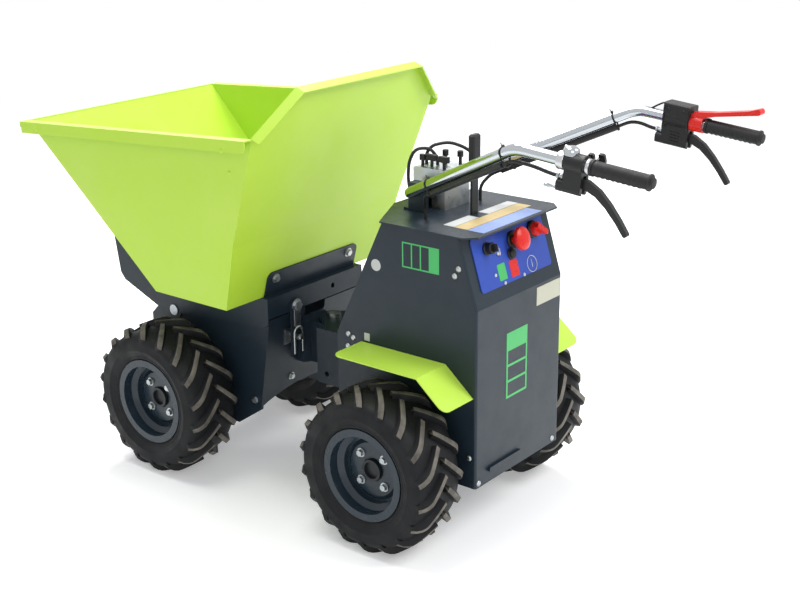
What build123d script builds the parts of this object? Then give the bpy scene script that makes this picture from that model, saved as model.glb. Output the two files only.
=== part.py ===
from build123d import *
from math import cos, pi, sqrt, tan
import os

# Electric walk-behind site dumper: two articulated modules on four lugged wheels, a skip that
# tips forwards over the front axle, and a control tower with handlebars at the back.
# Millimetres. +X is forwards, +Y is the operator's left, +Z is up. Heights here are measured
# from the wheels' axes; every file has its origin on the ground, at the middle of the machine's
# length and width.

# ---- wheels ----
REAR_AXLE_X = -238.0
WHEELBASE = 742.0
WHEEL_RADIUS = 205.0          # over the lugs, and so the height of both axles above the ground
WHEEL_Y = 275.0               # centre plane of each wheel from the machine's middle
TYRE_WIDTH = 160.0
CARCASS_DEPTH = 18.0          # height of a lug above the carcass
SHOULDER = 20.0               # chamfer between the tread and a sidewall
FLANGE_GAP = 3.0              # round a rim flange, in the tyre's side
TYRE_SIDES = 18               # flats round the carcass
LUGS_PER_ROW = 18
LUG_WIDTH = 12.0
LUG_SWEEP = 22.0              # degrees that a lug turns from the tyre's middle to its shoulder
LUG_ROOT = 5.0                # how deep a lug's root goes into the carcass
LUG_START = 3.0               # from the tyre's middle plane to the inner end of a lug
LUG_END = 4.8                 # from the tyre's side to the middle of a lug's outer end
LUG_TOP_END = 26.0            # from the tyre's side to the end of a lug's flat top
LUG_SHOULDER_RISE = 14.0      # of a lug's outer end above the sidewall's corner
LUG_TAIL_DROP = 12.0          # of its foot below that corner
BEAD_RADIUS = 101.5           # 8 inch rim
RIM_FLANGE_RADIUS = 116.0
RIM_WIDTH = 140.0
RIM_SHEET = 4.0
RIM_WELL_DEPTH = 14.0
RIM_SEAT_WIDTH = 24.0         # from a rim's edge to the end of its bead seat
RIM_WELL_EDGE = 34.0          # from a rim's edge to its well
DISC_INSET = 44.0             # outer rim edge to the outer face of the wheel disc
DISC_RADIUS = 78.0
DISC_DISH = 6.0
DISC_DISH_RUN = 10.0
HUB_HOLE_RADIUS = 30.0
STUD_CIRCLE = 100.0
STUD_HOLE_RADIUS = 6.5
STUDS = 4
SEAT_GAP = 0.05               # between a tyre and the rim it sits on
RUNNING_GAP = 0.05            # shaft in its housing

# ---- hubs and axles ----
HUB_FLANGE_RADIUS = 64.0
HUB_FLANGE_THICKNESS = 9.0
HUB_SPIGOT_RADIUS = 27.0
HUB_SPIGOT_LENGTH = 12.0
HUB_WALL = 6.0
HUB_FLOOR = 3.0
SHAFT_RADIUS = 17.0
SHAFT_LENGTH = 70.0
AXLE_TUBE_RADIUS = 29.0
AXLE_PLATE = 112.0            # plate that bolts the axle tube to the side of a module
AXLE_PLATE_HEIGHT = 69.44
AXLE_PLATE_CORNER = 12.0
AXLE_PLATE_THICKNESS = 6.0
AXLE_END_GAP = 1.5            # between the end of the axle tube and the hub flange
GEARBOX_LENGTH = 190.0
GEARBOX_HEIGHT = 120.0
GEARBOX_DEPTH = 150.0
GEARBOX_CORNER = 30.0
GEARBOX_SHAFT_WALL = 6.0
GEARBOX_GAP = 10.0            # round the gearbox, in the tower's floor

# ---- rear module: the control tower ----
SHEET = 3.0
PLATE_CORNER = 8.0            # round the corners of small plates and housings
TOWER_HALF_WIDTH = 180.0
TOWER_BOTTOM_Z = -38.0
TOWER_TOP_Z = 574.0
TOWER_FRONT_X = -31.0
TOWER_FRONT_KNEE_Z = 271.0
TOWER_TOP_FRONT_X = -178.0
TOWER_TOP_REAR_X = -399.0
TOWER_REAR_X = -451.0
TOWER_REAR_KNEE_Z = 407.0
TOWER_FOLD_RADIUS = 6.0
DECK_THICKNESS = 4.0
DECK_TOP_Z = TOWER_TOP_Z + DECK_THICKNESS
DECK_HALF_WIDTH = 190.0
DECK_REAR_X = -443.0
DECK_FRONT_X = -102.0
DECK_NOSE_HALF_WIDTH = 38.0
DECK_CORNER = 26.0
FLOOR_SHEET = 4.0

BATTERY_LENGTH = 330.0
BATTERY_WIDTH = 320.0
BATTERY_HEIGHT = 230.0

PANEL_WIDTH = 292.0
PANEL_HEIGHT = 128.0
PANEL_THICKNESS = 2.5
PANEL_DROP = 14.0             # from the deck down the slope to the panel's upper edge

GUARD_FRONT_X = -108.0
GUARD_BEND_X = -363.0
GUARD_REAR_X = -443.0
GUARD_Z = 261.0
GUARD_DROP = 68.0
GUARD_WIDTH = 112.0
GUARD_CORNER = 24.0

REAR_BAR_LENGTH = 136.0
REAR_BAR_HEIGHT = 12.0
REAR_BAR_DEPTH = 7.0
REAR_BAR_Z = -4.0
REAR_BAR_Y = 62.0

# ---- front module, along the machine ----
BACK_SHEET_RUN = 256.0        # from the front axle back to the foot of the leaning back sheet
NOSE_RUN = 151.0              # from the front axle to the module's nose
PIVOT_RUN = 111.0             # from the back sheet's foot back to the pivot
TIP_RUN = 49.0                # from the front axle to the tipping pins
CRADLE_RUN = 50.0             # from the back sheet's foot back to the cradle's rear beam
CRADLE_GAP = 6.0              # between that beam's rear face and the back sheet's top

# ---- the joint between the modules ----
PIN_RADIUS = 14.0
PIN_HEAD_RADIUS = 18.0
PIN_HEAD_THICKNESS = 9.0
PIN_TAIL = 14.0               # below the lower lug plate
PIN_POINT = 2.0
CARRIER_BOTTOM_Z = 75.0
CARRIER_TOP_Z = 225.0
CARRIER_HALF_WIDTH = 100.0
CHEEK_RUN = 25.0              # from the pivot back to the ends of the cheeks
CARRIER_SHEET = 6.0
LUG_PLATE = 12.0
LUG_EYE_RADIUS = 38.0
LUG_SHOULDER = 22.0           # from a cheek's end back to where a lug plate starts to taper
LUG_TANGENT_RUN = 12.0        # from the pivot to where the taper meets the eye
LUG_TANGENT_Y = 35.72
TONGUE_GAP = 5.0              # above and below the tongue, between the carrier's two lug plates
TONGUE_NECK_HALF_WIDTH = 33.0
TONGUE_TAPER = 12.0           # from the back sheet's top back to the neck
TONGUE_EYE_RADIUS = 34.0
TONGUE_ROOT_HALF_WIDTH = 52.0
CARRIER_HOLE_RADIUS = 7.0
CARRIER_HOLE_INSET = 32.0     # from a cheek's end
CARRIER_HOLE_RISE = 28.0      # from a cheek's lower edge

# ---- front module ----
FRONT_HALF_WIDTH = 178.0
FRONT_BOTTOM_Z = -15.0
FRONT_TOP_Z = 246.0
FRONT_ARCH_FOOT_Z = -5.0
FRONT_ARCH_HEIGHT = 31.0
FRONT_ARCH_HALF_WIDTH = 170.0
FRONT_NOSE_CHAMFER = 70.0
FRONT_SKIRT_Z = -73.0                    # the side sheets reach down to here round the axle
FRONT_SKIRT_RUN = 85.0                   # length of the skirt's slope at either end
FRONT_NOTCH_HALF_WIDTH = 40.0
FRONT_NOTCH_Z = 219.0
FRONT_NOTCH_DEPTH = 14.0

# ---- tipping frame and skip ----
TIP_Z = 207.0
TIP_PIN_RADIUS = 10.0
TIP_EAR_RADIUS = 26.0
TIP_PLATE = 4.0
TIP_SIDE_GAP = 6.0            # between the front module's side and the tipping frame's plate
TIP_HEAD_RADIUS = 15.0
TIP_HEAD_THICKNESS = 3.0
TIP_NOSE_RUN = 212.0          # from the tipping pins to the cradle's nose
TIP_NOSE_Z = 276.0
TIP_NOSE_LEAN = 0.155         # forward lean of the cradle's front edge, per unit of height
TIP_BELLY_RUN = 63.0
TIP_BELLY_Z = 204.0
TIP_NOSE_CUT = 16.0           # of the nose's lower corner, along and up
TIP_NOSE_CUT_RISE = 19.0
TIP_BELLY_SAG = 4.0
TIP_HEEL_CUT = 14.0
TIP_HEEL_Z = 227.0
BEAM_BOTTOM_Z = 252.0
BEAM_LIP = 26.0
UPSTAND_TOP_Z = 374.0
UPSTAND_HALF_WIDTH = 176.0
UPSTAND_CORNER = 18.0
BEAM_HOLE_RADIUS = 7.0
BEAM_HOLE_Y = -66.0

SKIP_SHEET = 3.0
SKIP_BOTTOM_Z = 307.0
SKIP_SETBACK = 24.0           # from the cradle's rear beam to the skip's bottom
SKIP_BOTTOM_LENGTH = 260.0
SKIP_FRONT_RUN = 430.0        # along the machine, of the sloping front
SKIP_LIP_Z = 715.0
SKIP_HEEL_RUN = 46.0          # of the leaning lower back
SKIP_BEND_Z = 480.0
SKIP_BACK_RUN = 142.0         # of the backboard above the bend
SKIP_SIDE_REAR_Z = 767.0      # where a side's top edge meets the back wall
SKIP_BACK_RISE = 108.0        # from there up to the backboard's top edge
SKIP_BOTTOM_HALF_WIDTH = 310.0
SKIP_SIDE_LEAN = 0.0756       # outward lean of a side wall, per unit of height
SKIP_BACK_HALF_WIDTH = 226.0  # half width of the backboard's top edge
SKIP_RIM_DEPTH = 25.0
LIP_OUT = 26.0
LIP_DOWN = 30.0
LIP_CORNER = 18.0
NOSE_LIP_DOWN = 14.0

LATCH_Y = 86.0
LATCH_WIDTH = 40.0
LATCH_THICKNESS = 6.0
LATCH_TOP_Z = 279.0
LATCH_BOTTOM_Z = 129.0
LATCH_PIN_RADIUS = 5.0
LATCH_PIN_Z = 179.0
LATCH_PIN_END = 8.0           # how far the pin stands out behind the strap
LATCH_GAP = 5.0               # either side of the pin in the strap's slot
KEEPER_WIDTH = 54.0
KEEPER_HEIGHT = 44.0
KEEPER_THICKNESS = 4.0
SEATED = 0.3                  # between a resting piece and its seat

# ---- handlebar ----
BAR_RADIUS = 13.0
BAR_WALL = 2.5
BAR_END = (-906.0, 249.0, 789.0)
BAR_BEND = (-599.0, 253.0, 818.0)
BAR_FOOT = (-191.0, 106.0, 627.0)
BAR_BEND_RADIUS = 90.0
BAR_FOOT_RADIUS = 48.0
MOUNT_HALF_LENGTH = 34.0
MOUNT_CAP_WIDTH = 28.0
MOUNT_CAP_Y = 56.0
MOUNT_BLOCK = 40.0
MOUNT_FOOT = 6.0
MOUNT_TOP = 20.0              # height of the clamp block above the cross tube's axis
GRIP_LENGTH = 132.0
GRIP_RADIUS = 15.5
GRIP_END_RADIUS = 17.5
GRIP_OVERHANG = 3.0
GRIP_COLLAR = 6.0
LEFT_PERCH = 163.0            # from the end of the bar to the middle of the lever housing
RIGHT_PERCH = 186.0
PERCH_LENGTH = 42.0
SWITCH_BOX_LENGTH = 66.0      # the right housing is longer and taller, for the switch in it
SWITCH_BOX_TOP = 38.0
SWITCH_BOX_CORNER = 7.0
PERCH_RADIUS = 21.0
PERCH_DROP = 62.0
PERCH_THICKNESS = 30.0
PERCH_FOOT_LENGTH = 16.0      # the foot of a housing runs forwards by this
PERCH_FOOT_HEIGHT = 24.0
LEVER_THICKNESS = 12.0
PERCH_SLOT_DEPTH = 26.0
SADDLE_LENGTH = 30.0
SADDLE_RADIUS = 19.0
SADDLE_RISE = 6.0
DEADMAN_WIDTH = 22.0

# A brake lever's bends: distance from its housing's middle towards the tip, drop, depth.
LEVER_PATH = [
    (8.0, 34.0, 20.0),
    (30.0, 38.0, 20.0),
    (56.0, 49.0, 17.0),
    (82.0, 69.0, 14.0),
    (108.0, 95.0, 12.0),
    (130.0, 121.0, 11.0),
]
# The red lever's bends: distance from the bar's tip, height above the bar, depth.
DEADMAN_PATH = [
    (158.0, 20.0, 14.0),
    (132.0, 25.0, 13.0),
    (108.0, 31.0, 9.0),
    (30.0, 50.0, 10.0),
    (2.0, 59.0, 15.0),
]

# ---- console, lever and controls on the tower ----
CONSOLE_FRONT_X = -152.0
CONSOLE_REAR_X = -246.0
CONSOLE_LEFT_Y = 25.0
CONSOLE_RIGHT_Y = -75.0
CONSOLE_TOP_Z = 675.0
CONSOLE_SHEET = 2.5
CONSOLE_NOTCH_GAP = 3.0       # round the handlebar where it passes through the console's sides
GEAR_LEVER_X = -318.0
GEAR_LEVER_Y = 5.0
GEAR_LEVER_WIDTH = 24.0
GEAR_LEVER_THICKNESS = 6.0
GEAR_LEVER_TOP_Z = 760.0
GEAR_GRIP_LENGTH = 68.0
GEAR_GRIP_WIDTH = 32.0
GEAR_GRIP_THICKNESS = 18.0
GEAR_GRIP_OVERHANG = 10.0     # above the lever's top
GEAR_GRIP_CORNER = 7.0
GEAR_GRIP_EDGE = 4.0
CABLE_RADIUS = 4.0
SLEEVE_RADIUS = 8.0
SLEEVE_START = 60.0           # along a leg of the handlebar from its upper bend
SLEEVE_END = 110.0            # from the sleeve's lower end to the leg's foot
BRAKE_CABLE_DROP = 34.0       # below the bar, where a brake cable leaves its housing
BRAKE_CABLE_LEAD = 36.0       # its first run, straight out of the housing
BRAKE_CABLE_RISE = 4.0        # of its middle above the straight way to the sleeve
SLEEVE_LEAD = 35.0            # its last run into the sleeve
SLEEVE_TAIL = 28.0            # the first run out of the sleeve's lower end
CABLE_TURN_DOWN = 38.0        # the run that turns it down to the deck

# Knobs on the console: x, y, head length along x, head length along y, stem height.
KNOBS = [
    (-168.0, 8.0, 16.0, 12.0, 14.0),
    (-194.0, 6.0, 34.0, 12.0, 16.0),
    (-232.0, 8.0, 30.0, 12.0, 16.0),
    (-205.0, -34.0, 14.0, 14.0, 22.0),
    (-236.0, -52.0, 14.0, 14.0, 20.0),
]
KNOB_HEAD_HEIGHT = 14.0
KNOB_STEM_RADIUS = 4.0

# Corner points of the two loops over the console: one to the right sleeve, one to the deck.
CONSOLE_CABLES = [
    [
        (-164.0, -12.0, CONSOLE_TOP_Z),
        (-164.0, -12.0, 703.0),
        (-174.0, -23.0, 720.0),
        (-202.0, -52.0, 727.0),
        (-238.0, -78.0, 711.0),
        (-268.0, -94.0, 679.0),
        (-288.0, -112.0, 661.0),
        (-314.0, -150.5, 661.5),
    ],
    [
        (-192.0, -19.0, CONSOLE_TOP_Z),
        (-192.0, -19.0, 692.0),
        (-179.0, -8.0, 716.0),
        (-151.0, 15.0, 716.0),
        (-139.0, 25.0, 685.0),
        (-137.0, 27.0, 645.0),
        (-141.0, 24.0, 607.0),
        (-141.0, 24.0, DECK_TOP_Z),
    ],
]

# Controls on the panel: name, distance left of the middle, distance down the slope, radius, length.
PANEL_CONTROLS = [
    ("key_switch", 82.0, 30.0, 12.0, 14.0),
    ("stop_button", -22.0, 36.0, 21.0, 30.0),
    ("isolator_knob", -100.0, 26.0, 15.0, 26.0),
]

# ---- derived places ----
FRONT_AXLE_X = REAR_AXLE_X + WHEELBASE
FRONT_REAR_X = FRONT_AXLE_X - BACK_SHEET_RUN
FRONT_NOSE_X = FRONT_AXLE_X + NOSE_RUN
PIVOT_X = FRONT_REAR_X - PIVOT_RUN
CARRIER_CHEEK_X = PIVOT_X - CHEEK_RUN
TIP_X = FRONT_AXLE_X + TIP_RUN
TIP_REAR_X = FRONT_REAR_X - CRADLE_RUN
FRONT_TOP_REAR_X = TIP_REAR_X + CRADLE_GAP
TIP_NOSE_X = TIP_X + TIP_NOSE_RUN
TIP_BELLY_X = TIP_X + TIP_BELLY_RUN
SKIP_BOTTOM_REAR_X = TIP_REAR_X + SKIP_SETBACK
SKIP_BOTTOM_FRONT_X = SKIP_BOTTOM_REAR_X + SKIP_BOTTOM_LENGTH
SKIP_LIP_X = SKIP_BOTTOM_FRONT_X + SKIP_FRONT_RUN
SKIP_BEND_X = SKIP_BOTTOM_REAR_X - SKIP_HEEL_RUN
SKIP_BACK_TOP_X = SKIP_BEND_X - SKIP_BACK_RUN
SKIP_BACK_TOP_Z = SKIP_SIDE_REAR_Z + SKIP_BACK_RISE
CARCASS_RADIUS = WHEEL_RADIUS - CARCASS_DEPTH
SIDEWALL_RADIUS = CARCASS_RADIUS - SHOULDER
HUB_FACE_Y = WHEEL_Y + RIM_WIDTH / 2 - DISC_INSET - RIM_SHEET
TIP_PLATE_IN = FRONT_HALF_WIDTH + TIP_SIDE_GAP
TIP_PLATE_OUT = TIP_PLATE_IN + TIP_PLATE
FRONT_LEAN = (FRONT_TOP_REAR_X - FRONT_REAR_X) / (FRONT_TOP_Z - FRONT_BOTTOM_Z)
FRONT_SLOPE = (SKIP_LIP_Z - SKIP_BOTTOM_Z) / (SKIP_LIP_X - SKIP_BOTTOM_FRONT_X)
BACK_SLOPE = (SKIP_BACK_TOP_X - SKIP_BEND_X) / (SKIP_BACK_TOP_Z - SKIP_BEND_Z)
HEEL_SLOPE = (SKIP_BEND_X - SKIP_BOTTOM_REAR_X) / (SKIP_BEND_Z - SKIP_BOTTOM_Z)
SKIP_SIDE_REAR_X = SKIP_BEND_X + BACK_SLOPE * (SKIP_SIDE_REAR_Z - SKIP_BEND_Z)
SLOPE_TOP = Vector(TOWER_TOP_REAR_X, 0, TOWER_TOP_Z)
SLOPE_DOWN = Vector(TOWER_REAR_X - TOWER_TOP_REAR_X, 0, TOWER_REAR_KNEE_Z - TOWER_TOP_Z).normalized()
# On the sloping face: x runs to the machine's right, y runs up the slope, z out of the face.
SLOPE_PLANE = Plane(origin=SLOPE_TOP, x_dir=(0, -1, 0), z_dir=(SLOPE_DOWN.Z, 0, -SLOPE_DOWN.X))

os.makedirs("parts", exist_ok=True)


def save(part, name):
    """Stands a piece, drawn with the axles at height 0, on its wheels and writes its file."""
    piece = Pos(0, 0, WHEEL_RADIUS) * part
    piece.label = name
    export_step(piece, f"parts/{name}.step")


def mirrored(point):
    return (point[0], -point[1], point[2])


def reach(edge):
    """Distance of an edge's middle from the Z axis."""
    middle = edge.center()
    return sqrt(middle.X**2 + middle.Y**2)


def radians_of(degrees):
    return degrees * pi / 180


def skip_half_width(z):
    return SKIP_BOTTOM_HALF_WIDTH + SKIP_SIDE_LEAN * (z - SKIP_BOTTOM_Z)


# ---------------------------------------------------------------- wheels

def tyre():
    """Lugged tyre round local Z: a flat-sided carcass with two rows of slanting bars."""
    half = TYRE_WIDTH / 2
    pocket = half - RIM_WIDTH / 2 + RIM_SHEET + SEAT_GAP
    with BuildPart() as body:
        with BuildSketch(Plane.XY):
            RegularPolygon(CARCASS_RADIUS, TYRE_SIDES)
        extrude(amount=half, both=True)
        chamfer(body.edges().filter_by(lambda edge: abs(edge.center().Z) > half - 1), SHOULDER)
        for z, way in ((half, -1), (-half, 1)):
            with BuildSketch(Plane.XY.offset(z)):
                RegularPolygon(RIM_FLANGE_RADIUS + FLANGE_GAP, TYRE_SIDES)
            extrude(amount=way * pocket, mode=Mode.SUBTRACT)
        sides = body.edges().filter_by(lambda edge: abs(edge.center().Z) > half - 1)
        chamfer(sides.filter_by(lambda edge: reach(edge) < SIDEWALL_RADIUS - SHOULDER), pocket - 1)
        with BuildSketch(Plane.XY):
            RegularPolygon((BEAD_RADIUS + SEAT_GAP) / cos(pi / TYRE_SIDES), TYRE_SIDES)
        extrude(amount=half, both=True, mode=Mode.SUBTRACT)
        bar = lug()
        with PolarLocations(0, LUGS_PER_ROW):
            add(bar)
        with PolarLocations(0, LUGS_PER_ROW, start_angle=180 / LUGS_PER_ROW):
            add(mirror(bar, about=Plane.XY, mode=Mode.PRIVATE))
    return body.part


def lug():
    """One slanting bar: its side outline stands on the bar's own line across the tread."""
    half = TYRE_WIDTH / 2
    line = Vector(0, -WHEEL_RADIUS * radians_of(LUG_SWEEP), half).normalized()
    outline = [  # distance from the tyre's middle plane, radius
        (LUG_START, CARCASS_RADIUS - LUG_ROOT),
        (LUG_START, WHEEL_RADIUS),
        (half - LUG_TOP_END, WHEEL_RADIUS),
        (half - LUG_END, SIDEWALL_RADIUS + LUG_SHOULDER_RISE),
        (half - LUG_END, SIDEWALL_RADIUS - LUG_TAIL_DROP),
    ]
    points = []
    for z, radius in outline:
        corner = -z * line.Y / line.Z + LUG_WIDTH / 2 * line.Z
        points.append((z / line.Z, sqrt(radius**2 - corner**2)))
    with BuildPart() as bar:
        with BuildSketch(Plane(origin=(0, 0, 0), x_dir=line, z_dir=line.cross(Vector(1, 0, 0)))):
            with BuildLine():
                Polyline(*points, close=True)
            make_face()
        extrude(amount=LUG_WIDTH / 2, both=True)
    return bar.part


def rim():
    """Steel rim round local Z, with +Z outboard: stepped barrel, deep disc, four stud holes."""
    edge = RIM_WIDTH / 2
    disc = edge - DISC_INSET
    well = BEAD_RADIUS - RIM_WELL_DEPTH
    half_sheet = RIM_SHEET / 2
    dish = disc - DISC_DISH
    inside = BEAD_RADIUS - RIM_SHEET
    outer = [  # radius, z: the barrel from the inboard flange to the outboard one and back inside
        (RIM_FLANGE_RADIUS, -edge),
        (RIM_FLANGE_RADIUS, -edge + RIM_SHEET),
        (BEAD_RADIUS, -edge + RIM_SHEET),
        (BEAD_RADIUS, -edge + RIM_SEAT_WIDTH),
        (well, -edge + RIM_WELL_EDGE),
        (well, edge - RIM_WELL_EDGE),
        (BEAD_RADIUS, edge - RIM_SEAT_WIDTH),
        (BEAD_RADIUS, edge - RIM_SHEET),
        (RIM_FLANGE_RADIUS, edge - RIM_SHEET),
        (RIM_FLANGE_RADIUS, edge),
        (inside, edge),
        (inside, edge - RIM_SEAT_WIDTH - half_sheet),
        (well - RIM_SHEET, edge - RIM_WELL_EDGE - half_sheet),
        (well - RIM_SHEET, -edge + RIM_WELL_EDGE + half_sheet),
        (inside, -edge + RIM_SEAT_WIDTH + half_sheet),
        (inside, -edge),
    ]
    face = [  # the disc, dished outboard round its hub seat
        (well - RIM_SHEET, dish - RIM_SHEET),
        (well - RIM_SHEET, dish),
        (DISC_RADIUS, dish),
        (DISC_RADIUS - DISC_DISH_RUN, disc),
        (HUB_HOLE_RADIUS, disc),
        (HUB_HOLE_RADIUS, disc - RIM_SHEET),
        (DISC_RADIUS - DISC_DISH_RUN - half_sheet, disc - RIM_SHEET),
        (DISC_RADIUS - half_sheet, dish - RIM_SHEET),
    ]
    with BuildPart() as body:
        for section in (outer, face):
            with BuildSketch(Plane.XZ):
                with BuildLine():
                    Polyline(*section, close=True)
                make_face()
            revolve(axis=Axis.Z)
        with BuildSketch(Plane.XY.offset(disc)):
            with PolarLocations(STUD_CIRCLE / 2, STUDS, start_angle=180 / STUDS):
                Circle(STUD_HOLE_RADIUS)
        extrude(amount=-RIM_SHEET, mode=Mode.SUBTRACT)
    return body.part


def hub():
    """Wheel hub round local Z, +Z outboard: flange behind the disc, spigot in its hole, half shaft."""
    face = RIM_WIDTH / 2 - DISC_INSET - RIM_SHEET
    with BuildPart() as body:
        with BuildSketch(Plane.XY.offset(face)):
            Circle(HUB_FLANGE_RADIUS)
        extrude(amount=-HUB_FLANGE_THICKNESS)
        with BuildSketch(Plane.XY.offset(face)):
            Circle(HUB_SPIGOT_RADIUS)
        extrude(amount=HUB_SPIGOT_LENGTH)
        with BuildSketch(Plane.XY.offset(face + HUB_SPIGOT_LENGTH)):
            Circle(HUB_SPIGOT_RADIUS - HUB_WALL)
        extrude(amount=-HUB_SPIGOT_LENGTH + HUB_FLOOR, mode=Mode.SUBTRACT)
        with BuildSketch(Plane.XY.offset(face - HUB_FLANGE_THICKNESS)):
            Circle(SHAFT_RADIUS)
        extrude(amount=-SHAFT_LENGTH)
    return body.part


def wheels():
    tyre_part = tyre()
    rim_part = rim()
    hub_part = hub()
    corners = [("front", FRONT_AXLE_X), ("rear", REAR_AXLE_X)]
    for end, x in corners:
        for side, sign in (("left", 1), ("right", -1)):
            origin = (x, sign * WHEEL_Y, 0)
            rolling = Plane(origin=origin, x_dir=(1, 0, 0), z_dir=(0, 1, 0))
            outboard = Plane(origin=origin, x_dir=(1, 0, 0), z_dir=(0, sign, 0))
            save(tyre_part.moved(rolling.location), f"tyre_{end}_{side}")
            save(rim_part.moved(outboard.location), f"rim_{end}_{side}")
            save(hub_part.moved(outboard.location), f"hub_{end}_{side}")


def axle(name, x, half_width):
    """Gearbox block with an axle tube to each side, bolted to the module's side sheets."""
    tube_end = HUB_FACE_Y - HUB_FLANGE_THICKNESS - AXLE_END_GAP
    with BuildPart() as body:
        with BuildSketch(Plane(origin=(x, 0, 0), x_dir=(1, 0, 0), z_dir=(0, 1, 0))):
            Circle(AXLE_TUBE_RADIUS)
        extrude(amount=tube_end, both=True)
        for sign in (1, -1):
            plate = Plane(origin=(x, sign * half_width, 0), x_dir=(1, 0, 0), z_dir=(0, sign, 0))
            with BuildSketch(plate):
                RectangleRounded(AXLE_PLATE, AXLE_PLATE_HEIGHT, AXLE_PLATE_CORNER)
            extrude(amount=AXLE_PLATE_THICKNESS)
        with BuildSketch(Plane(origin=(x, 0, 0), x_dir=(1, 0, 0), z_dir=(0, 1, 0))):
            RectangleRounded(GEARBOX_LENGTH, GEARBOX_HEIGHT, GEARBOX_CORNER)
        extrude(amount=GEARBOX_DEPTH / 2, both=True)
        with BuildSketch(Plane(origin=(x, 0, 0), x_dir=(1, 0, 0), z_dir=(0, 1, 0))):
            Circle(SHAFT_RADIUS + RUNNING_GAP)
        extrude(amount=tube_end, both=True, mode=Mode.SUBTRACT)
        with BuildSketch(Plane(origin=(x, 0, 0), x_dir=(1, 0, 0), z_dir=(0, 1, 0))):
            Circle(SHAFT_RADIUS + GEARBOX_SHAFT_WALL)
        extrude(amount=GEARBOX_DEPTH / 2, both=True)
    save(body.part, name)


# ---------------------------------------------------------------- shared shapes

def side_plane(y, z_up=0.0):
    """Upright plane at a given y, with local x forwards and local y up; +Z points to the right."""
    return Plane(origin=(0, y, z_up), x_dir=(1, 0, 0), z_dir=(0, -1, 0))


def ribbon(points, widths):
    """Closed outline of a band along a few points in a plane, with its width at each."""
    left = []
    right = []
    for i, point in enumerate(points):
        before = Vector(*points[max(i - 1, 0)])
        after = Vector(*points[min(i + 1, len(points) - 1)])
        along = (after - before).normalized()
        across = Vector(-along.Y, along.X) * (widths[i] / 2)
        left.append(Vector(*point) + across)
        right.append(Vector(*point) - across)
    return left + right[::-1]


def bend_radii(points):
    """Bend radius at each inner point: the arcs take nine tenths of half the shorter run."""
    radii = []
    for before, here, after in zip(points, points[1:], points[2:]):
        come = Vector(*here) - Vector(*before)
        leave = Vector(*after) - Vector(*here)
        half_turn = radians_of(come.get_angle(leave)) / 2
        radii.append(0.45 * min(come.length, leave.length) / tan(half_turn))
    return radii


def cable(points):
    """Round cable of straight runs and tangent arcs through the given corner points."""
    radii = bend_radii(points)
    print("cable bends in mm:", *(round(radius) for radius in radii))
    with BuildPart() as run:
        with BuildLine() as route:
            FilletPolyline(*points, radius=radii)
        with BuildSketch(Plane(origin=route.line @ 0, z_dir=route.line % 0)):
            Circle(CABLE_RADIUS)
        sweep(path=route.line)
    return run.part


# ---------------------------------------------------------------- rear module

def tower_outline(inset):
    """Side view of the tower; with an inset, the inside of its sheet, run past both open ends."""
    past = inset * 10
    return [
        (TOWER_FRONT_X - inset, TOWER_BOTTOM_Z - past),
        (TOWER_FRONT_X - inset, TOWER_FRONT_KNEE_Z - inset * 0.3),
        (TOWER_TOP_FRONT_X - inset, TOWER_TOP_Z - inset * 0.3),
        (TOWER_TOP_FRONT_X - inset, TOWER_TOP_Z + past + 1),
        (TOWER_TOP_REAR_X + inset, TOWER_TOP_Z + past + 1),
        (TOWER_TOP_REAR_X + inset, TOWER_TOP_Z),
        (TOWER_REAR_X + inset, TOWER_REAR_KNEE_Z),
        (TOWER_REAR_X + inset, TOWER_BOTTOM_Z - past),
    ]


def tower_shell():
    """Folded sheet round the battery: two sides, the sloping front and the kneed back."""
    outside = [point for point in tower_outline(0) if point[1] <= TOWER_TOP_Z]
    with BuildPart() as shell:
        with BuildSketch(Plane.XZ):
            with BuildLine():
                Polyline(*outside, close=True)
            make_face()
        extrude(amount=TOWER_HALF_WIDTH, both=True)
        back = shell.faces().filter_by(lambda face: face.normal_at().X < -0.5)
        folds = back.edges().filter_by(lambda edge: abs(edge.center().Y) > TOWER_HALF_WIDTH - 1)
        fillet(folds, TOWER_FOLD_RADIUS)
        with BuildSketch(Plane.XZ):
            with BuildLine():
                Polyline(*tower_outline(SHEET), close=True)
            make_face()
        extrude(amount=TOWER_HALF_WIDTH - SHEET, both=True, mode=Mode.SUBTRACT)
        with BuildSketch(Plane(origin=(REAR_AXLE_X, 0, 0), x_dir=(1, 0, 0), z_dir=(0, 1, 0))):
            Circle(AXLE_TUBE_RADIUS + SEAT_GAP)
        extrude(amount=TOWER_HALF_WIDTH + 1, both=True, mode=Mode.SUBTRACT)
    save(shell.part, "tower_shell")


def tower_floor():
    """Pan that closes the tower below, open where the gearbox hangs through it."""
    front = TOWER_FRONT_X - SHEET
    rear = TOWER_REAR_X + SHEET
    hole_length = GEARBOX_LENGTH + 2 * GEARBOX_GAP
    hole_width = GEARBOX_DEPTH + 2 * GEARBOX_GAP
    with BuildPart() as floor:
        with BuildSketch(Plane(origin=((front + rear) / 2, 0, TOWER_BOTTOM_Z))):
            Rectangle(front - rear, 2 * (TOWER_HALF_WIDTH - SHEET))
            with Locations((REAR_AXLE_X - (front + rear) / 2, 0)):
                Rectangle(hole_length, hole_width, mode=Mode.SUBTRACT)
        extrude(amount=FLOOR_SHEET)
    save(floor.part, "tower_floor")


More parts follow.
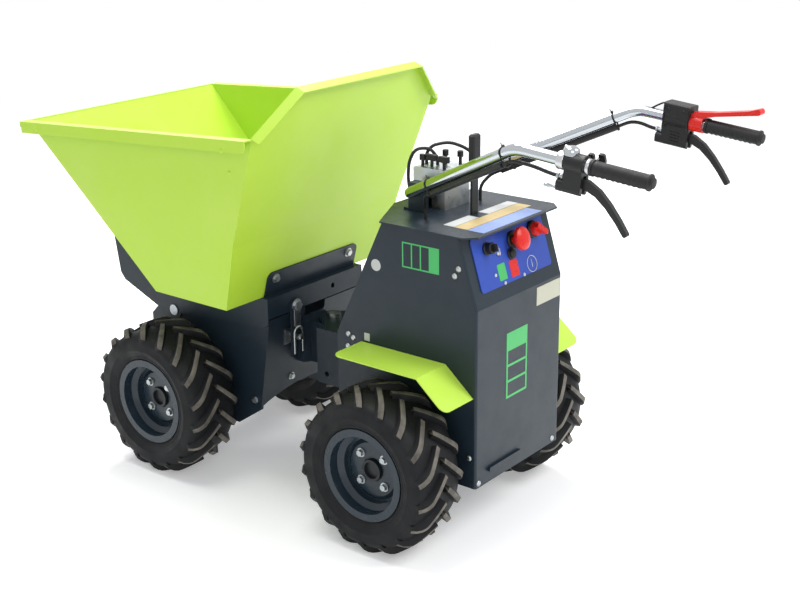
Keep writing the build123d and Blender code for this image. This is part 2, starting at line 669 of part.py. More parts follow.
def top_deck():
    """Thin top plate with cut rear corners and a blunt nose towards the skip."""
    right = [
        (DECK_FRONT_X, -DECK_NOSE_HALF_WIDTH),
        (TOWER_TOP_FRONT_X, -DECK_HALF_WIDTH),
        (DECK_REAR_X + DECK_CORNER, -DECK_HALF_WIDTH),
        (DECK_REAR_X, -DECK_HALF_WIDTH + DECK_CORNER),
    ]
    left = [(x, -y) for x, y in reversed(right)]
    with BuildPart() as plate:
        with BuildSketch(Plane.XY.offset(TOWER_TOP_Z)):
            with BuildLine():
                Polyline(*right, *left, close=True)
            make_face()
        extrude(amount=DECK_THICKNESS)
    save(plate.part, "top_deck")


def battery():
    """The battery pack inside the tower, and the tray that carries it over the gearbox."""
    middle = (TOWER_FRONT_X + TOWER_REAR_X) / 2
    tray_z = GEARBOX_HEIGHT / 2
    with BuildPart() as tray:
        with BuildSketch(Plane(origin=(middle, 0, tray_z))):
            Rectangle(BATTERY_LENGTH, 2 * (TOWER_HALF_WIDTH - SHEET))
        extrude(amount=FLOOR_SHEET)
    save(tray.part, "battery_tray")
    with BuildPart() as pack:
        with BuildSketch(Plane(origin=(middle, 0, tray_z + FLOOR_SHEET))):
            Rectangle(BATTERY_LENGTH, BATTERY_WIDTH)
        extrude(amount=BATTERY_HEIGHT)
    save(pack.part, "battery")


def control_panel():
    """Panel plate on the slope below the deck, and the controls that stand out of it."""
    with BuildPart() as plate:
        with BuildSketch(SLOPE_PLANE):
            with Locations((0, -PANEL_DROP - PANEL_HEIGHT / 2)):
                RectangleRounded(PANEL_WIDTH, PANEL_HEIGHT, PLATE_CORNER)
        extrude(amount=PANEL_THICKNESS)
    save(plate.part, "control_panel")
    for name, left, down, radius, length in PANEL_CONTROLS:
        with BuildPart() as control:
            with BuildSketch(SLOPE_PLANE.offset(PANEL_THICKNESS)):
                with Locations((-left, -down)):
                    Circle(radius * 0.7)
            extrude(amount=length / 2)
            with BuildSketch(SLOPE_PLANE.offset(PANEL_THICKNESS + length / 2)):
                with Locations((-left, -down)):
                    Circle(radius)
            extrude(amount=length / 2)
            chamfer(control.edges().sort_by(Axis(SLOPE_TOP, SLOPE_PLANE.z_dir))[-1], length / 6)
        save(control.part, name)


def mudguard(name, sign):
    """Sheet guard beside the tower: flat over the tyre, then folded down behind it."""
    thick = SHEET
    outer_y = TOWER_HALF_WIDTH + GUARD_WIDTH
    with BuildPart() as guard:
        with BuildSketch(side_plane(sign * TOWER_HALF_WIDTH)):
            with BuildLine():
                Polyline(
                    (GUARD_FRONT_X, GUARD_Z),
                    (GUARD_BEND_X, GUARD_Z),
                    (GUARD_REAR_X, GUARD_Z - GUARD_DROP),
                    (GUARD_REAR_X + thick * 0.65, GUARD_Z - GUARD_DROP - thick * 0.76),
                    (GUARD_BEND_X + thick * 0.36, GUARD_Z - thick),
                    (GUARD_FRONT_X, GUARD_Z - thick),
                    close=True,
                )
            make_face()
        extrude(amount=-sign * GUARD_WIDTH)
        ends = guard.edges().filter_by(lambda edge: edge.length < thick * 1.2)
        ends = ends.filter_by(lambda edge: abs(abs(edge.center().Y) - outer_y) < 0.1)
        ends = ends.filter_by(lambda edge: abs(edge.center().X - GUARD_BEND_X) > 20)
        fillet(ends, GUARD_CORNER)
    save(guard.part, name)


def rear_bar():
    """Bright bar low on the tower's back."""
    back = Plane(origin=(TOWER_REAR_X, REAR_BAR_Y, REAR_BAR_Z), x_dir=(0, -1, 0), z_dir=(-1, 0, 0))
    with BuildPart() as bar:
        with BuildSketch(back):
            RectangleRounded(REAR_BAR_LENGTH, REAR_BAR_HEIGHT, REAR_BAR_HEIGHT * 0.4)
        extrude(amount=REAR_BAR_DEPTH)
    save(bar.part, "rear_bar")


# ---------------------------------------------------------------- articulation

def pivot_carrier():
    """Channel on the tower's front: two cheeks and two eyed lug plates that hold the pivot pin."""
    height = CARRIER_TOP_Z - CARRIER_BOTTOM_Z
    middle_z = (CARRIER_TOP_Z + CARRIER_BOTTOM_Z) / 2
    inside = CARRIER_HALF_WIDTH - CARRIER_SHEET
    lug = [
        (TOWER_FRONT_X, inside),
        (CARRIER_CHEEK_X - LUG_SHOULDER, inside),
        (PIVOT_X + LUG_TANGENT_RUN, LUG_TANGENT_Y),
    ]
    with BuildPart() as body:
        for sign in (1, -1):
            with BuildSketch(side_plane(sign * CARRIER_HALF_WIDTH, middle_z)):
                with Locations(((CARRIER_CHEEK_X + TOWER_FRONT_X) / 2, 0)):
                    Rectangle(CARRIER_CHEEK_X - TOWER_FRONT_X, height)
                with Locations((CARRIER_CHEEK_X - CARRIER_HOLE_INSET, CARRIER_HOLE_RISE - height / 2)):
                    Circle(CARRIER_HOLE_RADIUS, mode=Mode.SUBTRACT)
            extrude(amount=sign * CARRIER_SHEET)
        with BuildSketch(Plane(origin=(TOWER_FRONT_X, 0, middle_z), x_dir=(0, 1, 0), z_dir=(1, 0, 0))):
            Rectangle(2 * CARRIER_HALF_WIDTH, height)
        extrude(amount=CARRIER_SHEET)
        for z in (CARRIER_BOTTOM_Z, CARRIER_TOP_Z - LUG_PLATE):
            with BuildSketch(Plane.XY.offset(z)):
                with BuildLine():
                    Polyline(*lug, *[(x, -y) for x, y in reversed(lug)], close=True)
                make_face()
                with Locations((PIVOT_X, 0)):
                    Circle(LUG_EYE_RADIUS)
                    Circle(PIN_RADIUS, mode=Mode.SUBTRACT)
            extrude(amount=LUG_PLATE)
    save(body.part, "pivot_carrier")


def pivot_pin():
    """Vertical pin with a head, held in the carrier's two lug plates."""
    with BuildPart() as pin:
        with BuildSketch(Plane(origin=(PIVOT_X, 0, CARRIER_BOTTOM_Z - PIN_TAIL))):
            Circle(PIN_RADIUS - SEAT_GAP)
        extrude(amount=CARRIER_TOP_Z - CARRIER_BOTTOM_Z + PIN_TAIL)
        with BuildSketch(Plane(origin=(PIVOT_X, 0, CARRIER_TOP_Z))):
            Circle(PIN_HEAD_RADIUS)
        extrude(amount=PIN_HEAD_THICKNESS)
        chamfer(pin.edges().group_by(Axis.Z)[0], PIN_POINT)
    save(pin.part, "pivot_pin")


def pivot_tongue():
    """Box arm from the front module to the pin, with a round boss at its end."""
    boss_low = CARRIER_BOTTOM_Z + LUG_PLATE + TONGUE_GAP
    boss_high = CARRIER_TOP_Z - LUG_PLATE - TONGUE_GAP
    root = [
        (FRONT_REAR_X, TONGUE_ROOT_HALF_WIDTH),
        (FRONT_TOP_REAR_X, TONGUE_ROOT_HALF_WIDTH),
        (FRONT_TOP_REAR_X - TONGUE_TAPER, TONGUE_NECK_HALF_WIDTH),
        (PIVOT_X, TONGUE_NECK_HALF_WIDTH),
    ]
    with BuildPart() as arm:
        with BuildSketch(Plane.XY.offset(boss_low)):
            with BuildLine():
                Polyline(*root, *[(x, -y) for x, y in reversed(root)], close=True)
            make_face()
        extrude(amount=boss_high - boss_low)
        with BuildSketch(Plane.XZ):
            with BuildLine():
                Polyline(*front_outline(0), close=True)
            make_face()
        extrude(amount=TONGUE_ROOT_HALF_WIDTH, both=True, mode=Mode.SUBTRACT)
        with BuildSketch(Plane.XY.offset(boss_low)):
            with Locations((PIVOT_X, 0)):
                Circle(TONGUE_EYE_RADIUS)
        extrude(amount=boss_high - boss_low)
        with BuildSketch(Plane.XY.offset(boss_low)):
            with Locations((PIVOT_X, 0)):
                Circle(PIN_RADIUS - SEAT_GAP + RUNNING_GAP)
        extrude(amount=boss_high - boss_low, mode=Mode.SUBTRACT)
    save(arm.part, "pivot_tongue")


# ---------------------------------------------------------------- front module

def back_sheet_x(z):
    """Place of the front module's leaning back sheet at a height."""
    return FRONT_REAR_X + FRONT_LEAN * (z - FRONT_BOTTOM_Z)


def front_outline(inset):
    """Side view of the front box; with an inset, the inside of its sheet, open below."""
    top = FRONT_TOP_Z - inset
    low = FRONT_BOTTOM_Z
    if inset:
        low = FRONT_SKIRT_Z - inset
        skirt = []
    else:
        skirt = [
            (FRONT_NOSE_X - FRONT_SKIRT_RUN, FRONT_SKIRT_Z),
            (FRONT_REAR_X + FRONT_SKIRT_RUN, FRONT_SKIRT_Z),
        ]
    return [
        (back_sheet_x(low) + inset, low),
        (back_sheet_x(top) + inset, top),
        (FRONT_NOSE_X - FRONT_NOSE_CHAMFER, top),
        (FRONT_NOSE_X - inset, top - FRONT_NOSE_CHAMFER),
        (FRONT_NOSE_X - inset, low),
        *skirt,
    ]


def front_chassis():
    """Welded sheet box over the front gearbox, with an arched leaning back and tipping ears."""
    back = Plane(origin=(FRONT_REAR_X, 0, 0), x_dir=(0, -1, 0), z_dir=(-1, 0, 0))
    notch = Plane(origin=(FRONT_TOP_REAR_X, 0, 0), x_dir=(0, -1, 0), z_dir=(-1, 0, 0))
    notch_height = 2 * (FRONT_TOP_Z - FRONT_NOTCH_Z)
    with BuildPart() as box:
        with BuildSketch(Plane.XZ):
            with BuildLine():
                Polyline(*front_outline(0), close=True)
            make_face()
        extrude(amount=FRONT_HALF_WIDTH, both=True)
        with BuildSketch(Plane.XZ):
            with BuildLine():
                Polyline(*front_outline(FLOOR_SHEET), close=True)
            make_face()
        extrude(amount=FRONT_HALF_WIDTH - FLOOR_SHEET, both=True, mode=Mode.SUBTRACT)
        with BuildSketch(back):
            with BuildLine():
                Polyline(
                    (-FRONT_ARCH_HALF_WIDTH, FRONT_ARCH_FOOT_Z),
                    (-FRONT_ARCH_HALF_WIDTH, FRONT_SKIRT_Z),
                    (FRONT_ARCH_HALF_WIDTH, FRONT_SKIRT_Z),
                    (FRONT_ARCH_HALF_WIDTH, FRONT_ARCH_FOOT_Z),
                )
                ThreePointArc(
                    (FRONT_ARCH_HALF_WIDTH, FRONT_ARCH_FOOT_Z),
                    (0, FRONT_ARCH_FOOT_Z + FRONT_ARCH_HEIGHT),
                    (-FRONT_ARCH_HALF_WIDTH, FRONT_ARCH_FOOT_Z),
                )
            make_face()
        extrude(amount=4 * FLOOR_SHEET, both=True, mode=Mode.SUBTRACT)
        with BuildSketch(notch):
            with Locations((0, FRONT_TOP_Z)):
                RectangleRounded(2 * FRONT_NOTCH_HALF_WIDTH, notch_height, PLATE_CORNER)
        extrude(amount=FRONT_NOTCH_DEPTH, both=True, mode=Mode.SUBTRACT)
        for sign in (1, -1):
            with BuildSketch(side_plane(sign * FRONT_HALF_WIDTH)):
                with Locations((TIP_X, TIP_Z)):
                    Circle(TIP_EAR_RADIUS)
                with Locations((TIP_X, TIP_Z - TIP_EAR_RADIUS)):
                    Rectangle(2 * TIP_EAR_RADIUS, 2 * TIP_EAR_RADIUS)
            extrude(amount=sign * FLOOR_SHEET)
        with BuildSketch(side_plane(0)):
            with Locations((TIP_X, TIP_Z)):
                Circle(TIP_PIN_RADIUS - SEAT_GAP + RUNNING_GAP)
            with Locations((FRONT_AXLE_X, 0)):
                Circle(AXLE_TUBE_RADIUS + SEAT_GAP)
        extrude(amount=FRONT_HALF_WIDTH + 1, both=True, mode=Mode.SUBTRACT)
    save(box.part, "front_chassis")


def latch_keeper():
    """Plate on the front module's back with a pin, which stands through the skip latch's slot."""
    pin_end_x = TIP_REAR_X - LATCH_THICKNESS - LATCH_PIN_END
    foot_x = back_sheet_x(LATCH_PIN_Z)
    side = [
        (back_sheet_x(z) - out, z)
        for z, out in (
            (LATCH_PIN_Z - KEEPER_HEIGHT / 2, 0),
            (LATCH_PIN_Z - KEEPER_HEIGHT / 2, KEEPER_THICKNESS),
            (LATCH_PIN_Z + KEEPER_HEIGHT / 2, KEEPER_THICKNESS),
            (LATCH_PIN_Z + KEEPER_HEIGHT / 2, 0),
        )
    ]
    with BuildPart() as keeper:
        with BuildSketch(side_plane(LATCH_Y)):
            with BuildLine():
                Polyline(*side, close=True)
            make_face()
        extrude(amount=KEEPER_WIDTH / 2, both=True)
        pin_plane = Plane(origin=(pin_end_x, LATCH_Y, LATCH_PIN_Z), x_dir=(0, 1, 0), z_dir=(1, 0, 0))
        with BuildSketch(pin_plane):
            Circle(LATCH_PIN_RADIUS)
        extrude(amount=foot_x - KEEPER_THICKNESS / 2 - pin_end_x)
        chamfer(keeper.edges().sort_by(Axis.X)[0], 1)
    save(keeper.part, "latch_keeper")


# ---------------------------------------------------------------- tipping frame and skip

def tipping_frame():
    """Cradle under the skip: two side plates, a tray, a rear channel and a bolted upstand."""
    under = SKIP_BOTTOM_Z
    nose_foot = TIP_NOSE_X - TIP_NOSE_LEAN * TIP_NOSE_Z
    slope_foot = SKIP_BOTTOM_FRONT_X - SKIP_BOTTOM_Z / FRONT_SLOPE
    nose_top = (nose_foot - slope_foot) / (1 / FRONT_SLOPE - TIP_NOSE_LEAN)
    side = [
        (TIP_REAR_X, under),
        (SKIP_BOTTOM_FRONT_X, under),
        (nose_foot + TIP_NOSE_LEAN * nose_top, nose_top),
        (TIP_NOSE_X, TIP_NOSE_Z),
        (TIP_NOSE_X - TIP_NOSE_CUT, TIP_NOSE_Z - TIP_NOSE_CUT_RISE),
        (TIP_BELLY_X, TIP_BELLY_Z),
        (TIP_X, TIP_BELLY_Z - TIP_BELLY_SAG),
        (TIP_REAR_X + TIP_HEEL_CUT, TIP_HEEL_Z),
        (TIP_REAR_X, TIP_HEEL_Z + TIP_HEEL_CUT),
    ]
    heel = Vector(HEEL_SLOPE, 0, 1).normalized()
    leaning = Plane(origin=(SKIP_BOTTOM_REAR_X, 0, under), x_dir=(0, -1, 0), z_dir=(-heel.Z, 0, heel.X))
    upstand_height = (UPSTAND_TOP_Z - under) / heel.Z
    with BuildPart() as frame:
        for sign in (1, -1):
            with BuildSketch(side_plane(sign * TIP_PLATE_OUT)):
                with BuildLine():
                    Polyline(*side, close=True)
                make_face()
                with Locations((TIP_X, TIP_Z)):
                    Circle(TIP_EAR_RADIUS)
                    Circle(TIP_PIN_RADIUS, mode=Mode.SUBTRACT)
            extrude(amount=sign * TIP_PLATE)
        middle = (TIP_REAR_X + SKIP_BOTTOM_FRONT_X) / 2
        with BuildSketch(Plane(origin=(middle, 0, under - TIP_PLATE))):
            Rectangle(SKIP_BOTTOM_FRONT_X - TIP_REAR_X, 2 * TIP_PLATE_OUT)
        extrude(amount=TIP_PLATE)
        with BuildSketch(Plane(origin=(TIP_REAR_X, 0, BEAM_BOTTOM_Z), x_dir=(0, -1, 0), z_dir=(-1, 0, 0))):
            with Locations((0, (under - BEAM_BOTTOM_Z) / 2)):
                Rectangle(2 * TIP_PLATE_OUT, under - BEAM_BOTTOM_Z)
            with Locations((-BEAM_HOLE_Y, (under - BEAM_BOTTOM_Z) / 2)):
                Circle(BEAM_HOLE_RADIUS, mode=Mode.SUBTRACT)
        extrude(amount=-TIP_PLATE)
        with BuildSketch(Plane(origin=(TIP_REAR_X + BEAM_LIP / 2, 0, BEAM_BOTTOM_Z))):
            Rectangle(BEAM_LIP, 2 * TIP_PLATE_OUT)
        extrude(amount=TIP_PLATE)
        with BuildSketch(leaning) as upstand:
            with Locations((0, upstand_height / 2)):
                Rectangle(2 * UPSTAND_HALF_WIDTH, upstand_height)
            fillet(upstand.vertices().group_by(Axis.Y)[-1], UPSTAND_CORNER)
        extrude(amount=TIP_PLATE)
    save(frame.part, "tipping_frame")


def tip_pins():
    """Two headed pins through the cradle's plates, on which the skip swings in the ears."""
    with BuildPart() as pins:
        for sign in (1, -1):
            inner = FRONT_HALF_WIDTH - FLOOR_SHEET
            start = Plane(origin=(TIP_X, sign * inner, TIP_Z), x_dir=(1, 0, 0), z_dir=(0, sign, 0))
            with BuildSketch(start):
                Circle(TIP_PIN_RADIUS - SEAT_GAP)
            extrude(amount=TIP_PLATE_OUT - inner)
            with BuildSketch(start.offset(TIP_PLATE_OUT - inner)):
                Circle(TIP_HEAD_RADIUS)
            extrude(amount=TIP_HEAD_THICKNESS)
    save(pins.part, "tip_pins")


def tip_latch():
    """Strap bolted to the cradle's rear beam, slotted from below to drop over the keeper's pin."""
    height = LATCH_TOP_Z - LATCH_BOTTOM_Z
    slot_top = LATCH_PIN_Z + LATCH_PIN_RADIUS + SEATED
    slot_half = LATCH_PIN_RADIUS + LATCH_GAP
    strap = Plane(
        origin=(TIP_REAR_X - LATCH_THICKNESS, LATCH_Y, LATCH_BOTTOM_Z),
        x_dir=(0, 1, 0),
        z_dir=(1, 0, 0),
    )
    with BuildPart() as latch:
        with BuildSketch(strap):
            with Locations((0, height / 2)):
                RectangleRounded(LATCH_WIDTH, height, PLATE_CORNER)
            with Locations((0, (slot_top - LATCH_BOTTOM_Z) / 2)):
                Rectangle(2 * slot_half, slot_top - LATCH_BOTTOM_Z, mode=Mode.SUBTRACT)
        extrude(amount=LATCH_THICKNESS)
    save(latch.part, "tip_latch")


def skip():
    """Welded sheet skip: leaning sides with hemmed lips, a raised backboard with a bent rim."""
    low = SKIP_BOTTOM_Z - LIP_DOWN
    high = SKIP_BACK_TOP_Z
    back = Vector(BACK_SLOPE, 0, 1).normalized()
    back_plane = Plane(origin=(SKIP_BEND_X, 0, SKIP_BEND_Z), x_dir=(0, -1, 0), z_dir=(-back.Z, 0, back.X))
    shoulder = (SKIP_SIDE_REAR_Z - SKIP_BEND_Z) / back.Z
    summit = (SKIP_BACK_TOP_Z - SKIP_BEND_Z) / back.Z
    rear_half = skip_half_width(SKIP_SIDE_REAR_Z)
    front_half = skip_half_width(SKIP_LIP_Z)
    top_run = Vector(SKIP_LIP_X - SKIP_SIDE_REAR_X, 0, SKIP_LIP_Z - SKIP_SIDE_REAR_Z)
    run = top_run.length
    top_plane = Plane(
        origin=(SKIP_SIDE_REAR_X, 0, SKIP_SIDE_REAR_Z),
        x_dir=top_run.normalized(),
        z_dir=(-top_run.Z, 0, top_run.X),
    )
    with BuildPart() as tub:
        with BuildSketch(Plane.XZ):
            with BuildLine():
                Polyline(
                    (SKIP_LIP_X, SKIP_LIP_Z),
                    (SKIP_BOTTOM_FRONT_X, SKIP_BOTTOM_Z),
                    (SKIP_BOTTOM_REAR_X, SKIP_BOTTOM_Z),
                    (SKIP_BEND_X, SKIP_BEND_Z),
                    (SKIP_SIDE_REAR_X, SKIP_SIDE_REAR_Z),
                    close=True,
                )
            make_face()
        extrude(amount=2 * SKIP_BOTTOM_HALF_WIDTH, both=True)
        with BuildSketch(Plane.YZ):
            with BuildLine():
                Polyline(
                    (-skip_half_width(low), low),
                    (skip_half_width(low), low),
                    (skip_half_width(high), high),
                    (-skip_half_width(high), high),
                    close=True,
                )
            make_face()
        extrude(amount=2 * SKIP_LIP_X, both=True, mode=Mode.INTERSECT)
        mouth = tub.faces().sort_by(Axis.Z)[-1]
        offset(amount=-SKIP_SHEET, openings=mouth)
        with BuildSketch(back_plane):
            with BuildLine():
                Polyline(
                    (-rear_half, shoulder),
                    (-rear_half + SKIP_SHEET, shoulder - 2 * SKIP_SHEET),
                    (rear_half - SKIP_SHEET, shoulder - 2 * SKIP_SHEET),
                    (rear_half, shoulder),
                    (SKIP_BACK_HALF_WIDTH, summit),
                    (-SKIP_BACK_HALF_WIDTH, summit),
                    close=True,
                )
            make_face()
        extrude(amount=-SKIP_SHEET)
        with BuildSketch(back_plane):
            with BuildLine():
                Polyline(
                    (-rear_half, shoulder - 3 * SKIP_SHEET),
                    (-rear_half, shoulder),
                    (-SKIP_BACK_HALF_WIDTH, summit),
                    (SKIP_BACK_HALF_WIDTH, summit),
                    (rear_half, shoulder),
                    (rear_half, shoulder - 3 * SKIP_SHEET),
                    close=True,
                )
            make_face()
            offset(amount=-SKIP_SHEET, kind=Kind.INTERSECTION, mode=Mode.SUBTRACT)
            with Locations((0, shoulder - 2 * SKIP_SHEET)):
                Rectangle(2 * rear_half, 4 * SKIP_SHEET, mode=Mode.SUBTRACT)
        extrude(amount=SKIP_RIM_DEPTH)
        for sign in (1, -1):
            with BuildSketch(top_plane):
                with BuildLine():
                    Polyline(
                        (0, sign * (rear_half - SKIP_SHEET)),
                        (run, sign * (front_half - SKIP_SHEET)),
                        (run, sign * (front_half + LIP_OUT)),
                        (0, sign * (rear_half + LIP_OUT)),
                        close=True,
                    )
                make_face()
            extrude(amount=-SKIP_SHEET)
            with BuildSketch(top_plane):
                with BuildLine():
                    Polyline(
                        (0, sign * (rear_half + LIP_OUT - SKIP_SHEET)),
                        (run, sign * (front_half + LIP_OUT - SKIP_SHEET)),
                        (run, sign * (front_half + LIP_OUT)),
                        (0, sign * (rear_half + LIP_OUT)),
                        close=True,
                    )
                make_face()
            extrude(amount=-LIP_DOWN)
        with BuildSketch(Plane.XZ):
            with BuildLine():
                Polyline(
                    (SKIP_LIP_X - 2 * SKIP_SHEET, SKIP_LIP_Z),
                    (SKIP_LIP_X + SKIP_SHEET, SKIP_LIP_Z),
                    (SKIP_LIP_X + SKIP_SHEET, SKIP_LIP_Z - NOSE_LIP_DOWN),
                    (SKIP_LIP_X, SKIP_LIP_Z - NOSE_LIP_DOWN),
                    (SKIP_LIP_X, SKIP_LIP_Z - SKIP_SHEET),
                    (SKIP_LIP_X - 2 * SKIP_SHEET, SKIP_LIP_Z - SKIP_SHEET),
                    close=True,
                )
            make_face()
        extrude(amount=front_half + LIP_OUT, both=True)
        hem_corners = tub.edges().filter_by(lambda edge: abs(edge.length - SKIP_SHEET) < 0.1)
        hem_corners = hem_corners.filter_by(lambda edge: abs(edge.center().Y) > rear_half + SKIP_SHEET)
        hem_end = SKIP_SIDE_REAR_X + 2 * SKIP_SHEET
        hem_corners = hem_corners.filter_by(lambda edge: edge.center().X < hem_end)
        fillet(hem_corners.filter_by(lambda edge: edge.center().Z < SKIP_SIDE_REAR_Z - LIP_DOWN / 2), LIP_CORNER)
    save(tub.part, "skip")


# ---------------------------------------------------------------- handlebar and its controls

def bar_direction(sign):
    """Unit vector along one end of the handlebar, from its tip forwards."""
    end = Vector(BAR_END[0], sign * BAR_END[1], BAR_END[2])
    bend = Vector(BAR_BEND[0], sign * BAR_BEND[1], BAR_BEND[2])
    return (bend - end).normalized()


def bar_plane(sign, along):
    """Plane square to one end of the handlebar, at a distance from its tip; local y is up."""
    origin = Vector(BAR_END[0], sign * BAR_END[1], BAR_END[2]) + bar_direction(sign) * along
    return Plane(origin=origin, x_dir=(0, 1, 0), z_dir=bar_direction(sign))


def bar_side(sign):
    """Upright plane through one end of the handlebar: local x along it, local y up, tip at 0."""
    way = bar_direction(sign)
    origin = Vector(BAR_END[0], sign * BAR_END[1], BAR_END[2])
    return Plane(origin=origin, x_dir=way, z_dir=(way.Y, -way.X, 0))


def handlebar():
    """One bent tube: two handles, two falling legs and the cross tube over the deck."""
    left = [BAR_END, BAR_BEND, BAR_FOOT]
    corners = left + [mirrored(point) for point in reversed(left)]
    radii = [BAR_BEND_RADIUS, BAR_FOOT_RADIUS, BAR_FOOT_RADIUS, BAR_BEND_RADIUS]
    with BuildPart() as tube:
        with BuildLine() as route:
            FilletPolyline(*corners, radius=radii)
        with BuildSketch(Plane(origin=route.line @ 0, z_dir=route.line % 0)):
            Circle(BAR_RADIUS)
            Circle(BAR_RADIUS - BAR_WALL, mode=Mode.SUBTRACT)
        sweep(path=route.line)
    save(tube.part, "handlebar")


def bar_mount():
    """Two stands on the deck, each with a bored block that clamps the cross tube."""
    with BuildPart() as mount:
        for sign in (1, -1):
            with BuildSketch(side_plane(sign * (MOUNT_CAP_Y + MOUNT_CAP_WIDTH / 2))):
                with Locations((BAR_FOOT[0], DECK_TOP_Z + MOUNT_FOOT / 2)):
                    Rectangle(2 * MOUNT_HALF_LENGTH, MOUNT_FOOT)
                with Locations((BAR_FOOT[0], (DECK_TOP_Z + BAR_FOOT[2] + MOUNT_TOP) / 2)):
                    Rectangle(MOUNT_BLOCK, BAR_FOOT[2] + MOUNT_TOP - DECK_TOP_Z)
                with Locations((BAR_FOOT[0], BAR_FOOT[2])):
                    Circle(BAR_RADIUS + SEAT_GAP, mode=Mode.SUBTRACT)
            extrude(amount=sign * MOUNT_CAP_WIDTH)
    save(mount.part, "bar_mount")


def grips():
    """Rubber grips pushed over both ends of the tube, each flared at its closed end."""
    with BuildPart() as pair:
        for sign in (1, -1):
            with BuildSketch(bar_plane(sign, -GRIP_OVERHANG)):
                Circle(GRIP_RADIUS)
            extrude(amount=GRIP_LENGTH)
            with BuildSketch(bar_plane(sign, -GRIP_OVERHANG)):
                Circle(GRIP_END_RADIUS)
            extrude(amount=GRIP_OVERHANG)
            with BuildSketch(bar_plane(sign, GRIP_LENGTH - GRIP_OVERHANG)):
                Circle(GRIP_END_RADIUS)
            extrude(amount=-GRIP_COLLAR)
            with BuildSketch(bar_plane(sign, 0)):
                Circle(BAR_RADIUS + SEAT_GAP)
            extrude(amount=GRIP_LENGTH, mode=Mode.SUBTRACT)
    save(pair.part, "grips")


def perch_middle(sign):
    return LEFT_PERCH if sign > 0 else RIGHT_PERCH


def perch_front(sign):
    """Distance from a handle's tip to the front face of its lever housing."""
    return perch_middle(sign) - PERCH_LENGTH / 2 + (PERCH_LENGTH if sign > 0 else SWITCH_BOX_LENGTH)


def perches():
    """Lever housings clamped on the tube, each with a foot in front and a slot for its lever."""
    with BuildPart() as pair:
        for sign in (1, -1):
            start = perch_middle(sign) - PERCH_LENGTH / 2
            length = perch_front(sign) - start
            with BuildSketch(bar_plane(sign, start)):
                Circle(PERCH_RADIUS)
                with Locations((0, -PERCH_DROP / 2)):
                    RectangleRounded(PERCH_THICKNESS, PERCH_DROP, PLATE_CORNER)
                if sign < 0:
                    with Locations((0, SWITCH_BOX_TOP / 2)):
                        RectangleRounded(2 * PERCH_RADIUS, SWITCH_BOX_TOP, SWITCH_BOX_CORNER)
            extrude(amount=length)
            with BuildSketch(bar_plane(sign, perch_front(sign))):
                with Locations((0, -PERCH_DROP + PERCH_FOOT_HEIGHT / 2)):
                    RectangleRounded(PERCH_THICKNESS, PERCH_FOOT_HEIGHT, PLATE_CORNER)
            extrude(amount=PERCH_FOOT_LENGTH)
            with BuildSketch(bar_side(sign)):
                with Locations((start + PERCH_SLOT_DEPTH / 2, -PERCH_DROP)):
                    Rectangle(PERCH_SLOT_DEPTH, 2 * (PERCH_DROP - PERCH_RADIUS))
            extrude(amount=LEVER_THICKNESS / 2 + SEATED, both=True, mode=Mode.SUBTRACT)
            with BuildSketch(bar_plane(sign, start)):
                Circle(BAR_RADIUS + SEAT_GAP)
            extrude(amount=length, mode=Mode.SUBTRACT)
    save(pair.part, "perches")


def brake_levers():
    """Two bent levers that hang below the grips from the slots of their housings."""
    with BuildPart() as pair:
        for sign in (1, -1):
            middle = perch_middle(sign)
            path = [(middle - along, -drop) for along, drop, depth in LEVER_PATH]
            depths = [depth for along, drop, depth in LEVER_PATH]
            with BuildSketch(bar_side(sign)) as blade:
                with BuildLine():
                    Polyline(*ribbon(path, depths), close=True)
                make_face()
                fillet(blade.vertices().sort_by(Axis.X)[:2], depths[-1] * 0.45)
            extrude(amount=LEVER_THICKNESS / 2, both=True)
    save(pair.part, "brake_levers")


def deadman_lever():
    """Red lever over the right grip, on a saddle between the grip and the lever housing."""
    path = [(along, height) for along, height, depth in DEADMAN_PATH]
    depths = [depth for along, height, depth in DEADMAN_PATH]
    saddle_start = RIGHT_PERCH - PERCH_LENGTH / 2 - SEATED - SADDLE_LENGTH
    with BuildPart() as lever:
        with BuildSketch(bar_side(-1)) as blade:
            with BuildLine():
                Polyline(*ribbon(path, depths), close=True)
            make_face()
            fillet(blade.vertices().sort_by(Axis.X)[:2], depths[-1] * 0.4)
        extrude(amount=DEADMAN_WIDTH / 2, both=True)
        with BuildSketch(bar_plane(-1, saddle_start)):
            Circle(SADDLE_RADIUS)
            with Locations((0, SADDLE_RADIUS / 2)):
                Rectangle(DEADMAN_WIDTH, SADDLE_RADIUS + SADDLE_RISE)
            Circle(BAR_RADIUS + SEAT_GAP, mode=Mode.SUBTRACT)
        extrude(amount=SADDLE_LENGTH)
    save(lever.part, "deadman_lever")


# ---------------------------------------------------------------- console and gear lever

